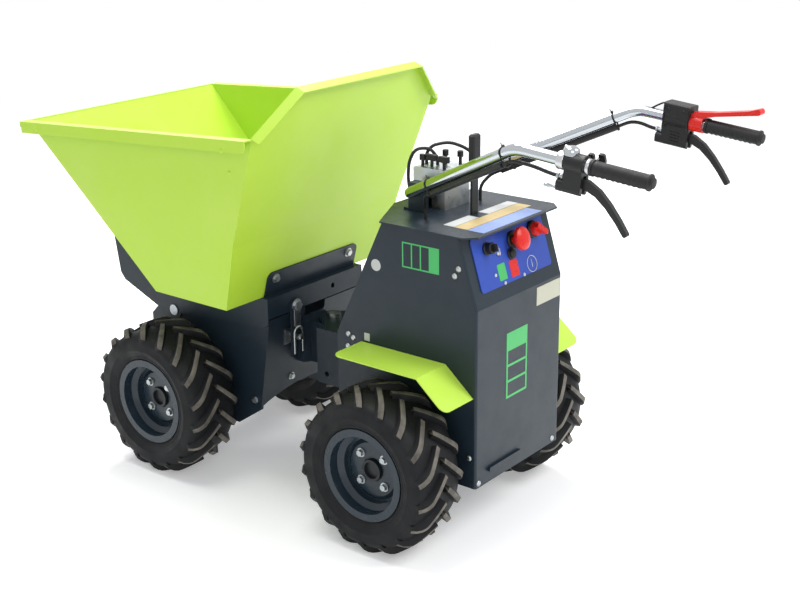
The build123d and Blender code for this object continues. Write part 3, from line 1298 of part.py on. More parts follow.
def console():
    """Open-bottomed sheet box over the cross tube, notched where the tube passes through."""
    length = CONSOLE_FRONT_X - CONSOLE_REAR_X
    width = CONSOLE_LEFT_Y - CONSOLE_RIGHT_Y
    middle = ((CONSOLE_FRONT_X + CONSOLE_REAR_X) / 2, (CONSOLE_LEFT_Y + CONSOLE_RIGHT_Y) / 2)
    notch = BAR_RADIUS + CONSOLE_NOTCH_GAP
    with BuildPart() as box:
        with BuildSketch(Plane(origin=(*middle, DECK_TOP_Z))):
            Rectangle(length, width)
        extrude(amount=CONSOLE_TOP_Z - DECK_TOP_Z)
        fillet(box.edges().filter_by(Axis.Y).group_by(Axis.Z)[-1], 2 * CONSOLE_SHEET)
        with BuildSketch(Plane(origin=(*middle, DECK_TOP_Z))):
            Rectangle(length - 2 * CONSOLE_SHEET, width - 2 * CONSOLE_SHEET)
        extrude(amount=CONSOLE_TOP_Z - CONSOLE_SHEET - DECK_TOP_Z, mode=Mode.SUBTRACT)
        with BuildSketch(side_plane(middle[1])):
            with Locations((BAR_FOOT[0], BAR_FOOT[2])):
                Circle(notch)
            with Locations((BAR_FOOT[0], (BAR_FOOT[2] + DECK_TOP_Z) / 2)):
                Rectangle(2 * notch, BAR_FOOT[2] - DECK_TOP_Z)
        extrude(amount=width, both=True, mode=Mode.SUBTRACT)
    save(box.part, "console")


def console_knobs():
    """Small black tee and round knobs on the console's top."""
    with BuildPart() as group:
        for x, y, head_x, head_y, stem in KNOBS:
            with BuildSketch(Plane(origin=(x, y, CONSOLE_TOP_Z))):
                Circle(KNOB_STEM_RADIUS)
            extrude(amount=stem)
            with BuildSketch(Plane(origin=(x, y, CONSOLE_TOP_Z + stem))):
                RectangleRounded(head_x, head_y, min(head_x, head_y) * 0.4)
            extrude(amount=KNOB_HEAD_HEIGHT)
    save(group.part, "console_knobs")


def gear_lever():
    """Upright flat lever on the deck, and the black grip pushed over its top."""
    grip_z = GEAR_LEVER_TOP_Z + GEAR_GRIP_OVERHANG - GEAR_GRIP_LENGTH
    with BuildPart() as lever:
        with BuildSketch(Plane(origin=(GEAR_LEVER_X, GEAR_LEVER_Y, DECK_TOP_Z))):
            Rectangle(GEAR_LEVER_THICKNESS, GEAR_LEVER_WIDTH)
        extrude(amount=GEAR_LEVER_TOP_Z - DECK_TOP_Z)
    save(lever.part, "gear_lever")
    with BuildPart() as grip:
        with BuildSketch(Plane(origin=(GEAR_LEVER_X, GEAR_LEVER_Y, grip_z))):
            RectangleRounded(GEAR_GRIP_THICKNESS, GEAR_GRIP_WIDTH, GEAR_GRIP_CORNER)
        extrude(amount=GEAR_GRIP_LENGTH)
        chamfer(grip.faces().sort_by(Axis.Z)[-1].edges(), GEAR_GRIP_EDGE)
        with BuildSketch(Plane(origin=(GEAR_LEVER_X, GEAR_LEVER_Y, grip_z))):
            Rectangle(GEAR_LEVER_THICKNESS + 2 * SEAT_GAP, GEAR_LEVER_WIDTH + 2 * SEAT_GAP)
        extrude(amount=GEAR_LEVER_TOP_Z - grip_z, mode=Mode.SUBTRACT)
    save(grip.part, "gear_grip")


def brake_line(sign):
    """Corner points of a brake cable: from its housing to the sleeve, and from there to the deck."""
    way = bar_direction(sign)
    bend = Vector(BAR_BEND[0], sign * BAR_BEND[1], BAR_BEND[2])
    foot = Vector(BAR_FOOT[0], sign * BAR_FOOT[1], BAR_FOOT[2])
    leg = (foot - bend).normalized()
    below = (Vector(0, 0, -1) - leg * -leg.Z).normalized()
    beside = below * (BAR_RADIUS + SLEEVE_RADIUS + SEATED)
    face = bar_plane(sign, perch_front(sign))
    start = face.origin - face.y_dir * BRAKE_CABLE_DROP
    top = bend + leg * SLEEVE_START + beside
    bottom = foot - leg * SLEEVE_END + beside
    approach = top - leg * SLEEVE_LEAD
    leave = start + way * BRAKE_CABLE_LEAD
    middle = (leave + approach) / 2 + face.y_dir * BRAKE_CABLE_RISE
    upper = [start, leave, middle, approach, top]
    falling = bottom + leg * SLEEVE_TAIL
    inward = Vector(0, -sign, 0)
    landing = falling + (leg + inward + Vector(0, 0, -1)).normalized() * CABLE_TURN_DOWN
    lower = [bottom, falling, landing, Vector(landing.X, landing.Y, DECK_TOP_Z)]
    return upper, lower


def control_cables():
    """Brake cables in sleeves under the handlebar's legs, and the loops over the console."""
    with BuildPart() as group:
        for sign in (1, -1):
            upper, lower = brake_line(sign)
            add(cable(upper))
            add(cable(lower))
            run = lower[0] - upper[-1]
            with BuildSketch(Plane(origin=upper[-1], z_dir=run.normalized())):
                Circle(SLEEVE_RADIUS)
            extrude(amount=run.length)
        for points in CONSOLE_CABLES:
            add(cable(points))
    save(group.part, "control_cables")


wheels()
axle("rear_axle", REAR_AXLE_X, TOWER_HALF_WIDTH)
tower_shell()
tower_floor()
top_deck()
battery()
control_panel()
mudguard("mudguard_left", 1)
mudguard("mudguard_right", -1)
rear_bar()
pivot_carrier()
pivot_pin()
axle("front_axle", FRONT_AXLE_X, FRONT_HALF_WIDTH)
front_chassis()
pivot_tongue()
latch_keeper()
tipping_frame()
tip_pins()
tip_latch()
skip()
handlebar()
bar_mount()
grips()
perches()
brake_levers()
deadman_lever()
console()
console_knobs()
gear_lever()
control_cables()
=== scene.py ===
# %% [markdown]
# # Site dumper
# A small electric dumper for building sites. It bends in the middle, rolls on four lugged tyres,
# and tips its skip forwards. The shapes of sheet, tube and wheel come as a fixed frame; this
# lesson gives them their finishes and adds what is too small for the frame: tread, bolts, ties.

# %% Load the frame
import bpy
import bmesh
from math import cos, pi, radians, sin
from mathutils import Matrix, Vector


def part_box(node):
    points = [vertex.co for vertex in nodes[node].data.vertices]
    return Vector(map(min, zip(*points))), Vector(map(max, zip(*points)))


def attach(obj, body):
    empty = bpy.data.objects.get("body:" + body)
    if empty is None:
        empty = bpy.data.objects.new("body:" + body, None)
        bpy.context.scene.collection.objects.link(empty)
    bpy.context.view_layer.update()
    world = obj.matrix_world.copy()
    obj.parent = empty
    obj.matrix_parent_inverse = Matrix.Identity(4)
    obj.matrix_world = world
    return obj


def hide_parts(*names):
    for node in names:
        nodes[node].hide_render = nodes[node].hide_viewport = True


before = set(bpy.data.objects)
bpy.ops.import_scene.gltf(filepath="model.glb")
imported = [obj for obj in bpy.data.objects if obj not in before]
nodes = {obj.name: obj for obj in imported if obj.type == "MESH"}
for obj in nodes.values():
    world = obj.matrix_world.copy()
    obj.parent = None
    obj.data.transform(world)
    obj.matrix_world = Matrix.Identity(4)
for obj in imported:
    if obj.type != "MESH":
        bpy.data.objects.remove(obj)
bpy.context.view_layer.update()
scene = bpy.context.scene
scene.view_settings.view_transform = "Standard"

# %% Object helper
def add_object(name, data, finish=None):
    """Links an object of the data to the scene, in a finish if one is given."""
    thing = bpy.data.objects.new(name, data)
    scene.collection.objects.link(thing)
    if finish is not None:
        data.materials.clear()
        data.materials.append(finish)
    return thing


# %% [markdown]
# ## Camera
# The machine is seen from behind its left rear wheel, from about head height. A camera can be
# aimed with a Track To constraint, but its tilt then always stays level. Here its three axes
# are worked out from a heading, a downward pitch and a small roll, and written as one matrix.

# %% Camera
CAMERA_PLACE = Vector((-2.1324, 2.5678, 1.6417))
CAMERA_HEADING = -0.898
CAMERA_PITCH = 0.3297
CAMERA_ROLL = -0.0115
CAMERA_LENS = 61.57


def add_camera():
    forward = Vector((cos(CAMERA_HEADING) * cos(CAMERA_PITCH),
                      sin(CAMERA_HEADING) * cos(CAMERA_PITCH),
                      -sin(CAMERA_PITCH)))
    level_right = forward.cross(Vector((0, 0, 1))).normalized()
    level_up = level_right.cross(forward)
    right = level_right * cos(CAMERA_ROLL) + level_up * sin(CAMERA_ROLL)
    up = level_up * cos(CAMERA_ROLL) - level_right * sin(CAMERA_ROLL)
    data = bpy.data.cameras.new("camera")
    data.lens = CAMERA_LENS
    data.sensor_width = 36
    camera = add_object("camera", data)
    axes = Matrix((right, up, -forward)).transposed().to_4x4()
    camera.matrix_world = Matrix.Translation(CAMERA_PLACE) @ axes
    scene.camera = camera
    return camera


camera = add_camera()
print("camera:", [round(value, 3) for value in camera.location], "lens", camera.data.lens, "mm")

# %% [markdown]
# ## Light and floor
# A big soft lamp beyond the machine and one above the skip light its inside, a weaker one fills
# the side that is turned to us, and one from behind brightens the tower's back. The background
# could be a white lamp, but that would bleach the paint, so the world is white only to camera,
# mirror and glass rays, and so is the floor far from the machine, where its shadow has ended.

# %% Light
def add_lamp(name, place, target, size, power):
    data = bpy.data.lights.new(name, "AREA")
    data.shape = "DISK"
    data.size = size
    data.energy = power
    lamp = add_object(name, data)
    lamp.location = place
    lamp.rotation_euler = (Vector(target) - Vector(place)).to_track_quat("-Z", "Y").to_euler()
    return lamp


def white_to_camera(tree, plain_socket, output_socket, share=None):
    """Mixes a plain shader with pure white, by a share, for rays that show the background itself."""
    path = tree.nodes.new("ShaderNodeLightPath")
    seen = tree.nodes.new("ShaderNodeMath")
    seen.operation = "MAXIMUM"
    tree.links.new(path.outputs["Is Camera Ray"], seen.inputs[0])
    tree.links.new(path.outputs["Is Glossy Ray"], seen.inputs[1])
    seen_through = tree.nodes.new("ShaderNodeMath")
    seen_through.operation = "MAXIMUM"
    tree.links.new(seen.outputs[0], seen_through.inputs[0])
    tree.links.new(path.outputs["Is Transmission Ray"], seen_through.inputs[1])
    white = tree.nodes.new("ShaderNodeEmission" if output_socket.node.type != "OUTPUT_WORLD"
                           else "ShaderNodeBackground")
    white.inputs["Strength"].default_value = 1
    white.inputs["Color"].default_value = (1, 1, 1, 1)
    mix = tree.nodes.new("ShaderNodeMixShader")
    shared = tree.nodes.new("ShaderNodeMath")
    shared.operation = "MULTIPLY"
    shared.inputs[1].default_value = 1
    tree.links.new(seen_through.outputs[0], shared.inputs[0])
    if share is not None:
        tree.links.new(share, shared.inputs[1])
    tree.links.new(shared.outputs[0], mix.inputs[0])
    tree.links.new(plain_socket, mix.inputs[1])
    tree.links.new(white.outputs[0], mix.inputs[2])
    tree.links.new(mix.outputs[0], output_socket)


def add_world():
    world = bpy.data.worlds.new("studio")
    scene.world = world
    world.use_nodes = True
    tree = world.node_tree
    light = tree.nodes["Background"]
    light.inputs["Color"].default_value = (0.93, 0.96, 1.0, 1)
    light.inputs["Strength"].default_value = 0.42
    white_to_camera(tree, light.outputs[0], tree.nodes["World Output"].inputs["Surface"])


add_world()
add_lamp("sun_side", (2.4, -2.2, 4.4), (0.2, 0, 0.4), 2.2, 210)
add_lamp("fill", (-3.6, 3.4, 3.0), (0, 0, 0.5), 2.6, 62)
add_lamp("back_rim", (-3.0, -1.2, 3.4), (0, 0, 0.6), 2.0, 95)
add_lamp("top", (0.7, 0.5, 4.6), (0.5, 0, 0.6), 2.4, 95)
print("lamps:", [light.name for light in bpy.data.lights])

# %% Floor
FLOOR_COLOUR = (0.97, 0.97, 0.97, 1)
FLOOR_GLOW = 0.28
FLOOR_REACH = 30
FADE_FROM = 2.4
FADE_TO = 6.5


def add_floor():
    mesh = bpy.data.meshes.new("floor")
    corners = ((-1, -1), (1, -1), (1, 1), (-1, 1))
    mesh.from_pydata([(x * FLOOR_REACH, y * FLOOR_REACH, 0) for x, y in corners], [], [(0, 1, 2, 3)])
    floor = add_object("floor", mesh)
    paint = bpy.data.materials.new("floor_white")
    paint.use_nodes = True
    shader = paint.node_tree.nodes["Principled BSDF"]
    shader.inputs["Base Color"].default_value = FLOOR_COLOUR
    shader.inputs["Roughness"].default_value = 1
    shader.inputs["Specular IOR Level"].default_value = 0
    shader.inputs["Emission Color"].default_value = (1, 1, 1, 1)
    shader.inputs["Emission Strength"].default_value = FLOOR_GLOW
    tree = paint.node_tree
    place = tree.nodes.new("ShaderNodeTexCoord")
    distance = tree.nodes.new("ShaderNodeVectorMath")
    distance.operation = "LENGTH"
    tree.links.new(place.outputs["Object"], distance.inputs[0])
    fade = tree.nodes.new("ShaderNodeMapRange")
    fade.interpolation_type = "SMOOTHSTEP"
    fade.inputs["From Min"].default_value = FADE_FROM
    fade.inputs["From Max"].default_value = FADE_TO
    tree.links.new(distance.outputs["Value"], fade.inputs["Value"])
    white_to_camera(tree, shader.outputs[0], tree.nodes["Material Output"].inputs["Surface"],
                    fade.outputs["Result"])
    mesh.materials.append(paint)


add_floor()
print("floor: white,", 2 * FLOOR_REACH, "m square")

# %% [markdown]
# ## Finishes
# Each finish is a small node tree on Object coordinates, so that its grain keeps its real size
# on every piece. One helper makes the shader, and a few others add what most finishes share:
# a fine bump, and slow changes of colour and of gloss. An image texture would also do, but noise
# costs nothing, never repeats and needs no unwrapping.

# %% Shared finish helpers
def new_finish(name, colour, roughness, metallic=0.0, coat=0.0, shine=0.5):
    finish = bpy.data.materials.new(name)
    finish.use_nodes = True
    shader = finish.node_tree.nodes["Principled BSDF"]
    shader.inputs["Base Color"].default_value = (*colour, 1)
    shader.inputs["Roughness"].default_value = roughness
    shader.inputs["Metallic"].default_value = metallic
    shader.inputs["Coat Weight"].default_value = coat
    shader.inputs["Coat Roughness"].default_value = 0.12
    shader.inputs["Specular IOR Level"].default_value = shine
    return finish


def noise(finish, scale, detail=3.0, stretch=(1, 1, 1)):
    """A noise pattern on Object coordinates; scale is in cycles per metre."""
    tree = finish.node_tree
    place = tree.nodes.new("ShaderNodeTexCoord")
    mapping = tree.nodes.new("ShaderNodeMapping")
    mapping.inputs["Scale"].default_value = stretch
    tree.links.new(place.outputs["Object"], mapping.inputs["Vector"])
    pattern = tree.nodes.new("ShaderNodeTexNoise")
    pattern.inputs["Scale"].default_value = scale
    pattern.inputs["Detail"].default_value = detail
    tree.links.new(mapping.outputs["Vector"], pattern.inputs["Vector"])
    return pattern.outputs["Fac"]


def ramp(finish, socket, low, high, low_value, high_value):
    """Spreads one band of a pattern between two values."""
    tree = finish.node_tree
    spread = tree.nodes.new("ShaderNodeMapRange")
    spread.inputs["From Min"].default_value = low
    spread.inputs["From Max"].default_value = high
    spread.inputs["To Min"].default_value = low_value
    spread.inputs["To Max"].default_value = high_value
    tree.links.new(socket, spread.inputs["Value"])
    return spread.outputs["Result"]


def shade(finish, factor, first, second):
    """Mixes two colours by a factor and gives the result to the shader."""
    tree = finish.node_tree
    mix = tree.nodes.new("ShaderNodeMix")
    mix.data_type = "RGBA"
    for socket, colour in ((mix.inputs[6], first), (mix.inputs[7], second)):
        if isinstance(colour, tuple):
            socket.default_value = (*colour, 1)
        else:
            tree.links.new(colour, socket)
    tree.links.new(factor, mix.inputs[0])
    tree.links.new(mix.outputs[2], tree.nodes["Principled BSDF"].inputs["Base Color"])
    return mix.outputs[2]


def bump(finish, height, depth):
    """Lets a pattern raise the surface by up to depth metres."""
    tree = finish.node_tree
    raised = tree.nodes.new("ShaderNodeBump")
    raised.inputs["Strength"].default_value = 1
    raised.inputs["Distance"].default_value = depth
    tree.links.new(height, raised.inputs["Height"])
    tree.links.new(raised.outputs["Normal"], tree.nodes["Principled BSDF"].inputs["Normal"])


def gloss(finish, socket):
    finish.node_tree.links.new(socket, finish.node_tree.nodes["Principled BSDF"].inputs["Roughness"])


print("finish helpers ready")

# %% [markdown]
# ## Green and dark paint
# The skip and guards are powder coated: gloss paint with a faint orange peel, slightly greyed
# where dust has settled. The guards wear a lighter copy of the skip's green, which is painted
# light: it stands in for the brighter light on their tops and backs. The modules carry a
# structured dark coat, which is a fine grain that breaks up every reflection.

# %% Paints
def powder_coat(name, colour, dusty, roughness):
    finish = new_finish(name, colour, roughness, coat=0.12, shine=0.3)
    shade(finish, ramp(finish, noise(finish, 5, 6), 0.4, 0.75, 0, 0.5), colour, dusty)
    gloss(finish, ramp(finish, noise(finish, 14, 4), 0.3, 0.8, roughness - 0.06, roughness + 0.16))
    bump(finish, noise(finish, 420, 1.5), 0.00012)
    return finish


def structured_coat(name, colour, worn):
    finish = new_finish(name, colour, 0.4, shine=0.28)
    shade(finish, ramp(finish, noise(finish, 6, 8), 0.45, 0.8, 0, 0.35), colour, worn)
    gloss(finish, ramp(finish, noise(finish, 30, 5), 0.3, 0.8, 0.3, 0.46))
    bump(finish, noise(finish, 1100, 2), 0.00022)
    return finish


skip_green = powder_coat("skip_green", (0.435, 0.660, 0.045), (0.47, 0.67, 0.085), 0.36)
# Painted light: the guards' green is the skip's own green made lighter, for the light they catch.
guard_green = powder_coat("guard_green", (0.475, 0.715, 0.075), (0.5, 0.71, 0.11), 0.32)
module_coat = structured_coat("module_coat", (0.011, 0.020, 0.030), (0.017, 0.028, 0.039))
rim_coat = powder_coat("rim_coat", (0.016, 0.028, 0.040), (0.024, 0.038, 0.05), 0.24)
panel_blue = powder_coat("panel_blue", (0.020, 0.060, 0.36), (0.030, 0.072, 0.34), 0.42)
print("paints:", skip_green.name, guard_green.name, module_coat.name, rim_coat.name, panel_blue.name)

# %% [markdown]
# ## Metals
# Pins, levers and brackets are zinc plated: a cool grey with patches that turn yellow. The
# handlebar is chromed tube, where only a very smooth, fully metallic surface looks right.

# %% Metals
def zinc_plate(name):
    finish = new_finish(name, (0.40, 0.42, 0.44), 0.36, metallic=1.0)
    patches = ramp(finish, noise(finish, 26, 5), 0.45, 0.75, 0, 0.8)
    shade(finish, patches, (0.39, 0.42, 0.44), (0.43, 0.41, 0.34))
    gloss(finish, ramp(finish, noise(finish, 60, 6), 0.3, 0.75, 0.26, 0.5))
    bump(finish, noise(finish, 500, 2, (1, 1, 0.15)), 0.0001)
    return finish


zinc = zinc_plate("zinc")
chrome = new_finish("chrome", (0.47, 0.50, 0.53), 0.07, metallic=1.0)
gloss(chrome, ramp(chrome, noise(chrome, 9, 6), 0.4, 0.8, 0.05, 0.16))
bright_steel = new_finish("bright_steel", (0.52, 0.53, 0.54), 0.25, metallic=1.0)
brushed = noise(bright_steel, 50, 4, (1, 0.1, 1))
gloss(bright_steel, ramp(bright_steel, brushed, 0.3, 0.8, 0.18, 0.36))
dark_steel = structured_coat("dark_steel", (0.016, 0.019, 0.022), (0.03, 0.03, 0.03))
print("metals:", zinc.name, chrome.name, bright_steel.name, dark_steel.name)

# %% [markdown]
# ## Rubber and plastics
# Tyres are not plain black: the tops of their bars carry pale brown dust. A paint mask would
# need unwrapping, so the tyre's mesh marks the points of each top instead, and the finish turns
# that mark into dust, broken up by noise.

# %% Rubber and plastics
RUBBER = (0.006, 0.0065, 0.0075)
TREAD_DUST = (0.175, 0.158, 0.135)


def moulded_plastic(name, colour, roughness):
    finish = new_finish(name, colour, roughness, shine=0.3)
    gloss(finish, ramp(finish, noise(finish, 90, 4), 0.3, 0.8, roughness - 0.08, roughness + 0.1))
    bump(finish, noise(finish, 1600, 1), 0.00006)
    return finish


def tyre_rubber(name):
    finish = new_finish(name, RUBBER, 0.7, shine=0.22)
    tree = finish.node_tree
    marked = tree.nodes.new("ShaderNodeAttribute")
    marked.attribute_name = "dust"
    patchy = tree.nodes.new("ShaderNodeMath")
    patchy.operation = "MULTIPLY"
    tree.links.new(marked.outputs["Fac"], patchy.inputs[0])
    tree.links.new(ramp(finish, noise(finish, 38, 6), 0.3, 0.7, 0.35, 1.0), patchy.inputs[1])
    shade(finish, patchy.outputs[0], RUBBER, TREAD_DUST)
    gloss(finish, ramp(finish, noise(finish, 24, 5), 0.3, 0.8, 0.48, 0.78))
    bump(finish, noise(finish, 700, 2), 0.00015)
    return finish


tyre_black = tyre_rubber("tyre_black")
black_plastic = moulded_plastic("black_plastic", (0.012, 0.012, 0.013), 0.42)
grip_rubber = moulded_plastic("grip_rubber", (0.014, 0.014, 0.015), 0.6)
cable_black = moulded_plastic("cable_black", (0.013, 0.013, 0.014), 0.45)
signal_red = moulded_plastic("signal_red", (0.62, 0.018, 0.012), 0.3)
battery_grey = moulded_plastic("battery_grey", (0.05, 0.05, 0.055), 0.6)
plate_white = moulded_plastic("plate_white", (0.50, 0.51, 0.50), 0.4)
plate_pale = moulded_plastic("plate_pale", (0.46, 0.46, 0.36), 0.4)
plate_amber = moulded_plastic("plate_amber", (0.50, 0.38, 0.17), 0.4)
plate_blue = moulded_plastic("plate_blue", (0.22, 0.30, 0.55), 0.4)
plate_green = moulded_plastic("plate_green", (0.06, 0.42, 0.12), 0.4)
print("plastics:", tyre_black.name, black_plastic.name, grip_rubber.name, signal_red.name)

# %% [markdown]
# ## Finishes on the frame's own pieces
# A table says which finish each piece of the frame wears. A piece that the frame shapes well
# enough keeps its mesh and only changes its material.

# %% Dress the frame
WHEELS = [f"{end}_{side}" for end in ("front", "rear") for side in ("left", "right")]
FINISH_OF = {
    skip_green: ["skip"],
    guard_green: ["mudguard_left", "mudguard_right"],
    module_coat: ["tower_shell", "tower_floor", "top_deck", "battery_tray", "pivot_carrier",
                  "pivot_tongue", "front_chassis", "front_axle", "rear_axle", "bar_mount",
                  "tipping_frame", "tip_latch", "rear_bar"],
    rim_coat: [f"rim_{wheel}" for wheel in WHEELS],
    zinc: ["console", "latch_keeper", "pivot_pin", "tip_pins"],
    dark_steel: ["gear_lever"] + [f"hub_{wheel}" for wheel in WHEELS],
    chrome: ["handlebar"],
    battery_grey: ["battery"],
    panel_blue: ["control_panel"],
    black_plastic: ["perches", "brake_levers", "console_knobs", "gear_grip", "key_switch"],
    grip_rubber: ["grips"],
    cable_black: ["control_cables"],
    signal_red: ["stop_button", "isolator_knob", "deadman_lever"],
    tyre_black: [f"tyre_{wheel}" for wheel in WHEELS],
}


def dress(finish, names):
    for name in names:
        nodes[name].data.materials.clear()
        nodes[name].data.materials.append(finish)


for finish, names in FINISH_OF.items():
    dress(finish, names)
print("dressed:", sum(len(names) for names in FINISH_OF.values()), "pieces of", len(nodes))

# %% [markdown]
# ## Making pieces
# Every added piece is a plain mesh that rides on one body. `add_piece` takes a finished bmesh,
# gives it a finish and hands it to its body, and `rear_piece` does so for the rear frame, which
# carries most of them. `plain_mesh` turns what Geometry Nodes make into such a mesh.

# %% Piece helpers
SUNK = 0.0003
SMOOTH_ANGLE = 35


def add_piece(name, shape, body, finish):
    """Makes a smooth-shaded object of a bmesh and lets it ride on a body."""
    mesh = bpy.data.meshes.new(name)
    bmesh.ops.remove_doubles(shape, verts=shape.verts, dist=1e-6)
    bmesh.ops.recalc_face_normals(shape, faces=shape.faces)
    shape.to_mesh(mesh)
    shape.free()
    piece = add_object(name, mesh, finish)
    smooth_by_angle(mesh, SMOOTH_ANGLE)
    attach(piece, body)
    return piece


def smooth_by_angle(mesh, angle):
    """Smooth faces, with every edge sharper than the angle kept sharp."""
    mesh.shade_smooth()
    mesh.set_sharp_from_angle(angle=radians(angle))


def rear_piece(name, shape, finish):
    return add_piece(name, shape, "rear_frame", finish)


def plain_object(name, shape):
    """An unfinished object of a bmesh, for Geometry Nodes to use."""
    mesh = bpy.data.meshes.new(name)
    shape.to_mesh(mesh)
    shape.free()
    return add_object(name, mesh)


def plain_mesh(carrier):
    """The plain mesh that a carrier's Geometry Nodes make."""
    bpy.context.view_layer.update()
    evaluated = carrier.evaluated_get(bpy.context.evaluated_depsgraph_get())
    return bpy.data.meshes.new_from_object(evaluated)


def seat(name, start, way):
    """The point of a frame piece that a ray meets, a hair below its surface, and the way it faces."""
    piece = nodes[name]
    into = piece.matrix_world.inverted()
    hit, point, facing, _ = piece.ray_cast(into @ Vector(start), into.to_3x3() @ Vector(way))
    if not hit:
        raise ValueError(f"nothing of {name} from {tuple(start)}")
    facing = (piece.matrix_world.to_3x3() @ facing).normalized()
    return piece.matrix_world @ point - facing * SUNK, facing


print("piece helpers ready")

# %% [markdown]
# ## Tyres
# A site tyre is a rounded carcass with two rows of slanting bars. One bar is a short bent
# block, and Geometry Nodes put it round the wheel eighteen times a row, the second row mirrored
# and moved on by half a pitch. The bars could be modelled one by one or with an Array, but a
# node tree keeps their number and place as inputs.

# %% Tyre sizes
LUGS_PER_ROW = 18
LUG_SWEEP = radians(22)
LUG_HEIGHT = 0.0155
LUG_TOP_WIDTH = 0.0140
LUG_FOOT_WIDTH = 0.0260
tyre_low, tyre_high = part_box("tyre_rear_left")
TYRE_RADIUS = (tyre_high.x - tyre_low.x) / 2
TYRE_HALF = (tyre_high.y - tyre_low.y) / 2
CARCASS_RADIUS = TYRE_RADIUS - LUG_HEIGHT
RIM_RADIUS = (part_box("rim_rear_left")[1].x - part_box("rim_rear_left")[0].x) / 2
print("tyre: radius", round(TYRE_RADIUS, 4), "half", round(TYRE_HALF, 4), "rim", round(RIM_RADIUS, 4))


# %% Carcass
def carcass_outline():
    """Half a tyre's section as radius and distance from its middle plane, bead to crown."""
    wall = ((-0.0135, 0.0655), (0.001, 0.0658), (0.004, 0.0700), (0.010, 0.0735), (0.0125, 0.0728),
            (0.020, 0.0765), (0.026, 0.0785), (0.028, 0.0800), (0.031, 0.0800), (0.033, 0.0790))
    crown = ((-0.022, 0.0795), (-0.012, 0.0755), (-0.005, 0.0660), (-0.001, 0.0450), (0, 0.0))
    return ([(RIM_RADIUS + out, z) for out, z in wall]
            + [(CARCASS_RADIUS + out, z) for out, z in crown])


def carcass_shape(segments=108):
    half = carcass_outline()
    section = half + [(radius, -z) for radius, z in reversed(half[:-1])]
    shape = bmesh.new()
    rings = []
    for step in range(segments):
        turn = 2 * pi * step / segments
        rings.append([shape.verts.new((radius * cos(turn), z, radius * sin(turn)))
                      for radius, z in section])
    for step, ring in enumerate(rings):
        following = rings[(step + 1) % segments]
        for i in range(len(section)):
            j = (i + 1) % len(section)
            shape.faces.new((ring[i], ring[j], following[j], following[i]))
    return shape


# %% [markdown]
# ### One bar
# The bar starts just past the tread's middle, turns with the sweep towards the shoulder, and
# drops over it. Its section is a trapezoid, wider at the foot, whose two upper corners are each
# rounded by three points, given as depth below the top and share of the top's width.

# %% Lug
LUG_STATIONS = 10
LUG_START = 0.002
LUG_CORNER = ((0.0016, 1.12), (0.0003, 1.03), (0, 0.95))
TOP_POINTS = (3, 4)
SHOULDER_START = 0.050
SHOULDER_DROP = 0.0245


def lug_top_radius(z):
    """Height of a bar's top over the wheel's axis at a distance from the middle plane."""
    drop = max(0.0, (z - SHOULDER_START) / (TYRE_HALF - SHOULDER_START))
    return TYRE_RADIUS - 0.0010 - SHOULDER_DROP * drop ** 2.0


def lug_shape(way):
    """One bar for the row on the side way (1 or -1) of the middle plane, at the wheel's top."""
    shape = bmesh.new()
    dust = shape.verts.layers.float.new("dust")
    sections = []
    for station in range(LUG_STATIONS + 1):
        share = station / LUG_STATIONS
        z = LUG_START + (TYRE_HALF - 0.0012 - LUG_START) * share
        turn = LUG_SWEEP * z / TYRE_HALF
        top = lug_top_radius(z)
        foot = min(CARCASS_RADIUS - 0.010, top - 0.012)
        flare = 1.0 + 0.25 * share
        half = [(foot, LUG_FOOT_WIDTH)]
        half += [(top - depth, LUG_TOP_WIDTH * wide) for depth, wide in LUG_CORNER]
        points = [(radius, -width) for radius, width in half] + half[::-1]
        ring = []
        for index, (radius, width) in enumerate(points):
            across = width / 2 * flare
            angle = -turn + across / radius * cos(LUG_SWEEP * 2)
            shift = across * sin(LUG_SWEEP * 2) * 0.6
            side = way * min(z + shift, TYRE_HALF - 0.0004)
            vert = shape.verts.new((radius * sin(angle), side, radius * cos(angle)))
            vert[dust] = 1.0 if index in TOP_POINTS else 0.0
            ring.append(vert)
        sections.append(ring)
    for before, after in zip(sections, sections[1:]):
        for i in range(len(before) - 1):
            shape.faces.new((before[i], before[i + 1], after[i + 1], after[i]))
        shape.faces.new((before[-1], before[0], after[0], after[-1]))
    shape.faces.new(sections[0])
    shape.faces.new(sections[-1][::-1])
    bmesh.ops.recalc_face_normals(shape, faces=shape.faces)
    return shape


# %% [markdown]
# ### Rows of bars by Geometry Nodes
# The tree takes two bars and a number per row. It makes one point per bar on a line, turns each
# instance by its index times the pitch, and joins both rows with the carcass.

# %% Tread tree
def add_input(tree, name, kind, default=None):
    socket = tree.interface.new_socket(name, in_out="INPUT", socket_type=kind)
    if default is not None:
        socket.default_value = default
    return socket.identifier


def end_tree(tree, given, geometry):
    """Makes instances real, gives them the finish and hands them out."""
    real = tree.nodes.new("GeometryNodeRealizeInstances")
    tree.links.new(geometry, real.inputs[0])
    paint = tree.nodes.new("GeometryNodeSetMaterial")
    tree.links.new(real.outputs[0], paint.inputs["Geometry"])
    tree.links.new(given.outputs["Finish"], paint.inputs["Material"])
    result = tree.nodes.new("NodeGroupOutput")
    tree.links.new(paint.outputs[0], result.inputs[0])


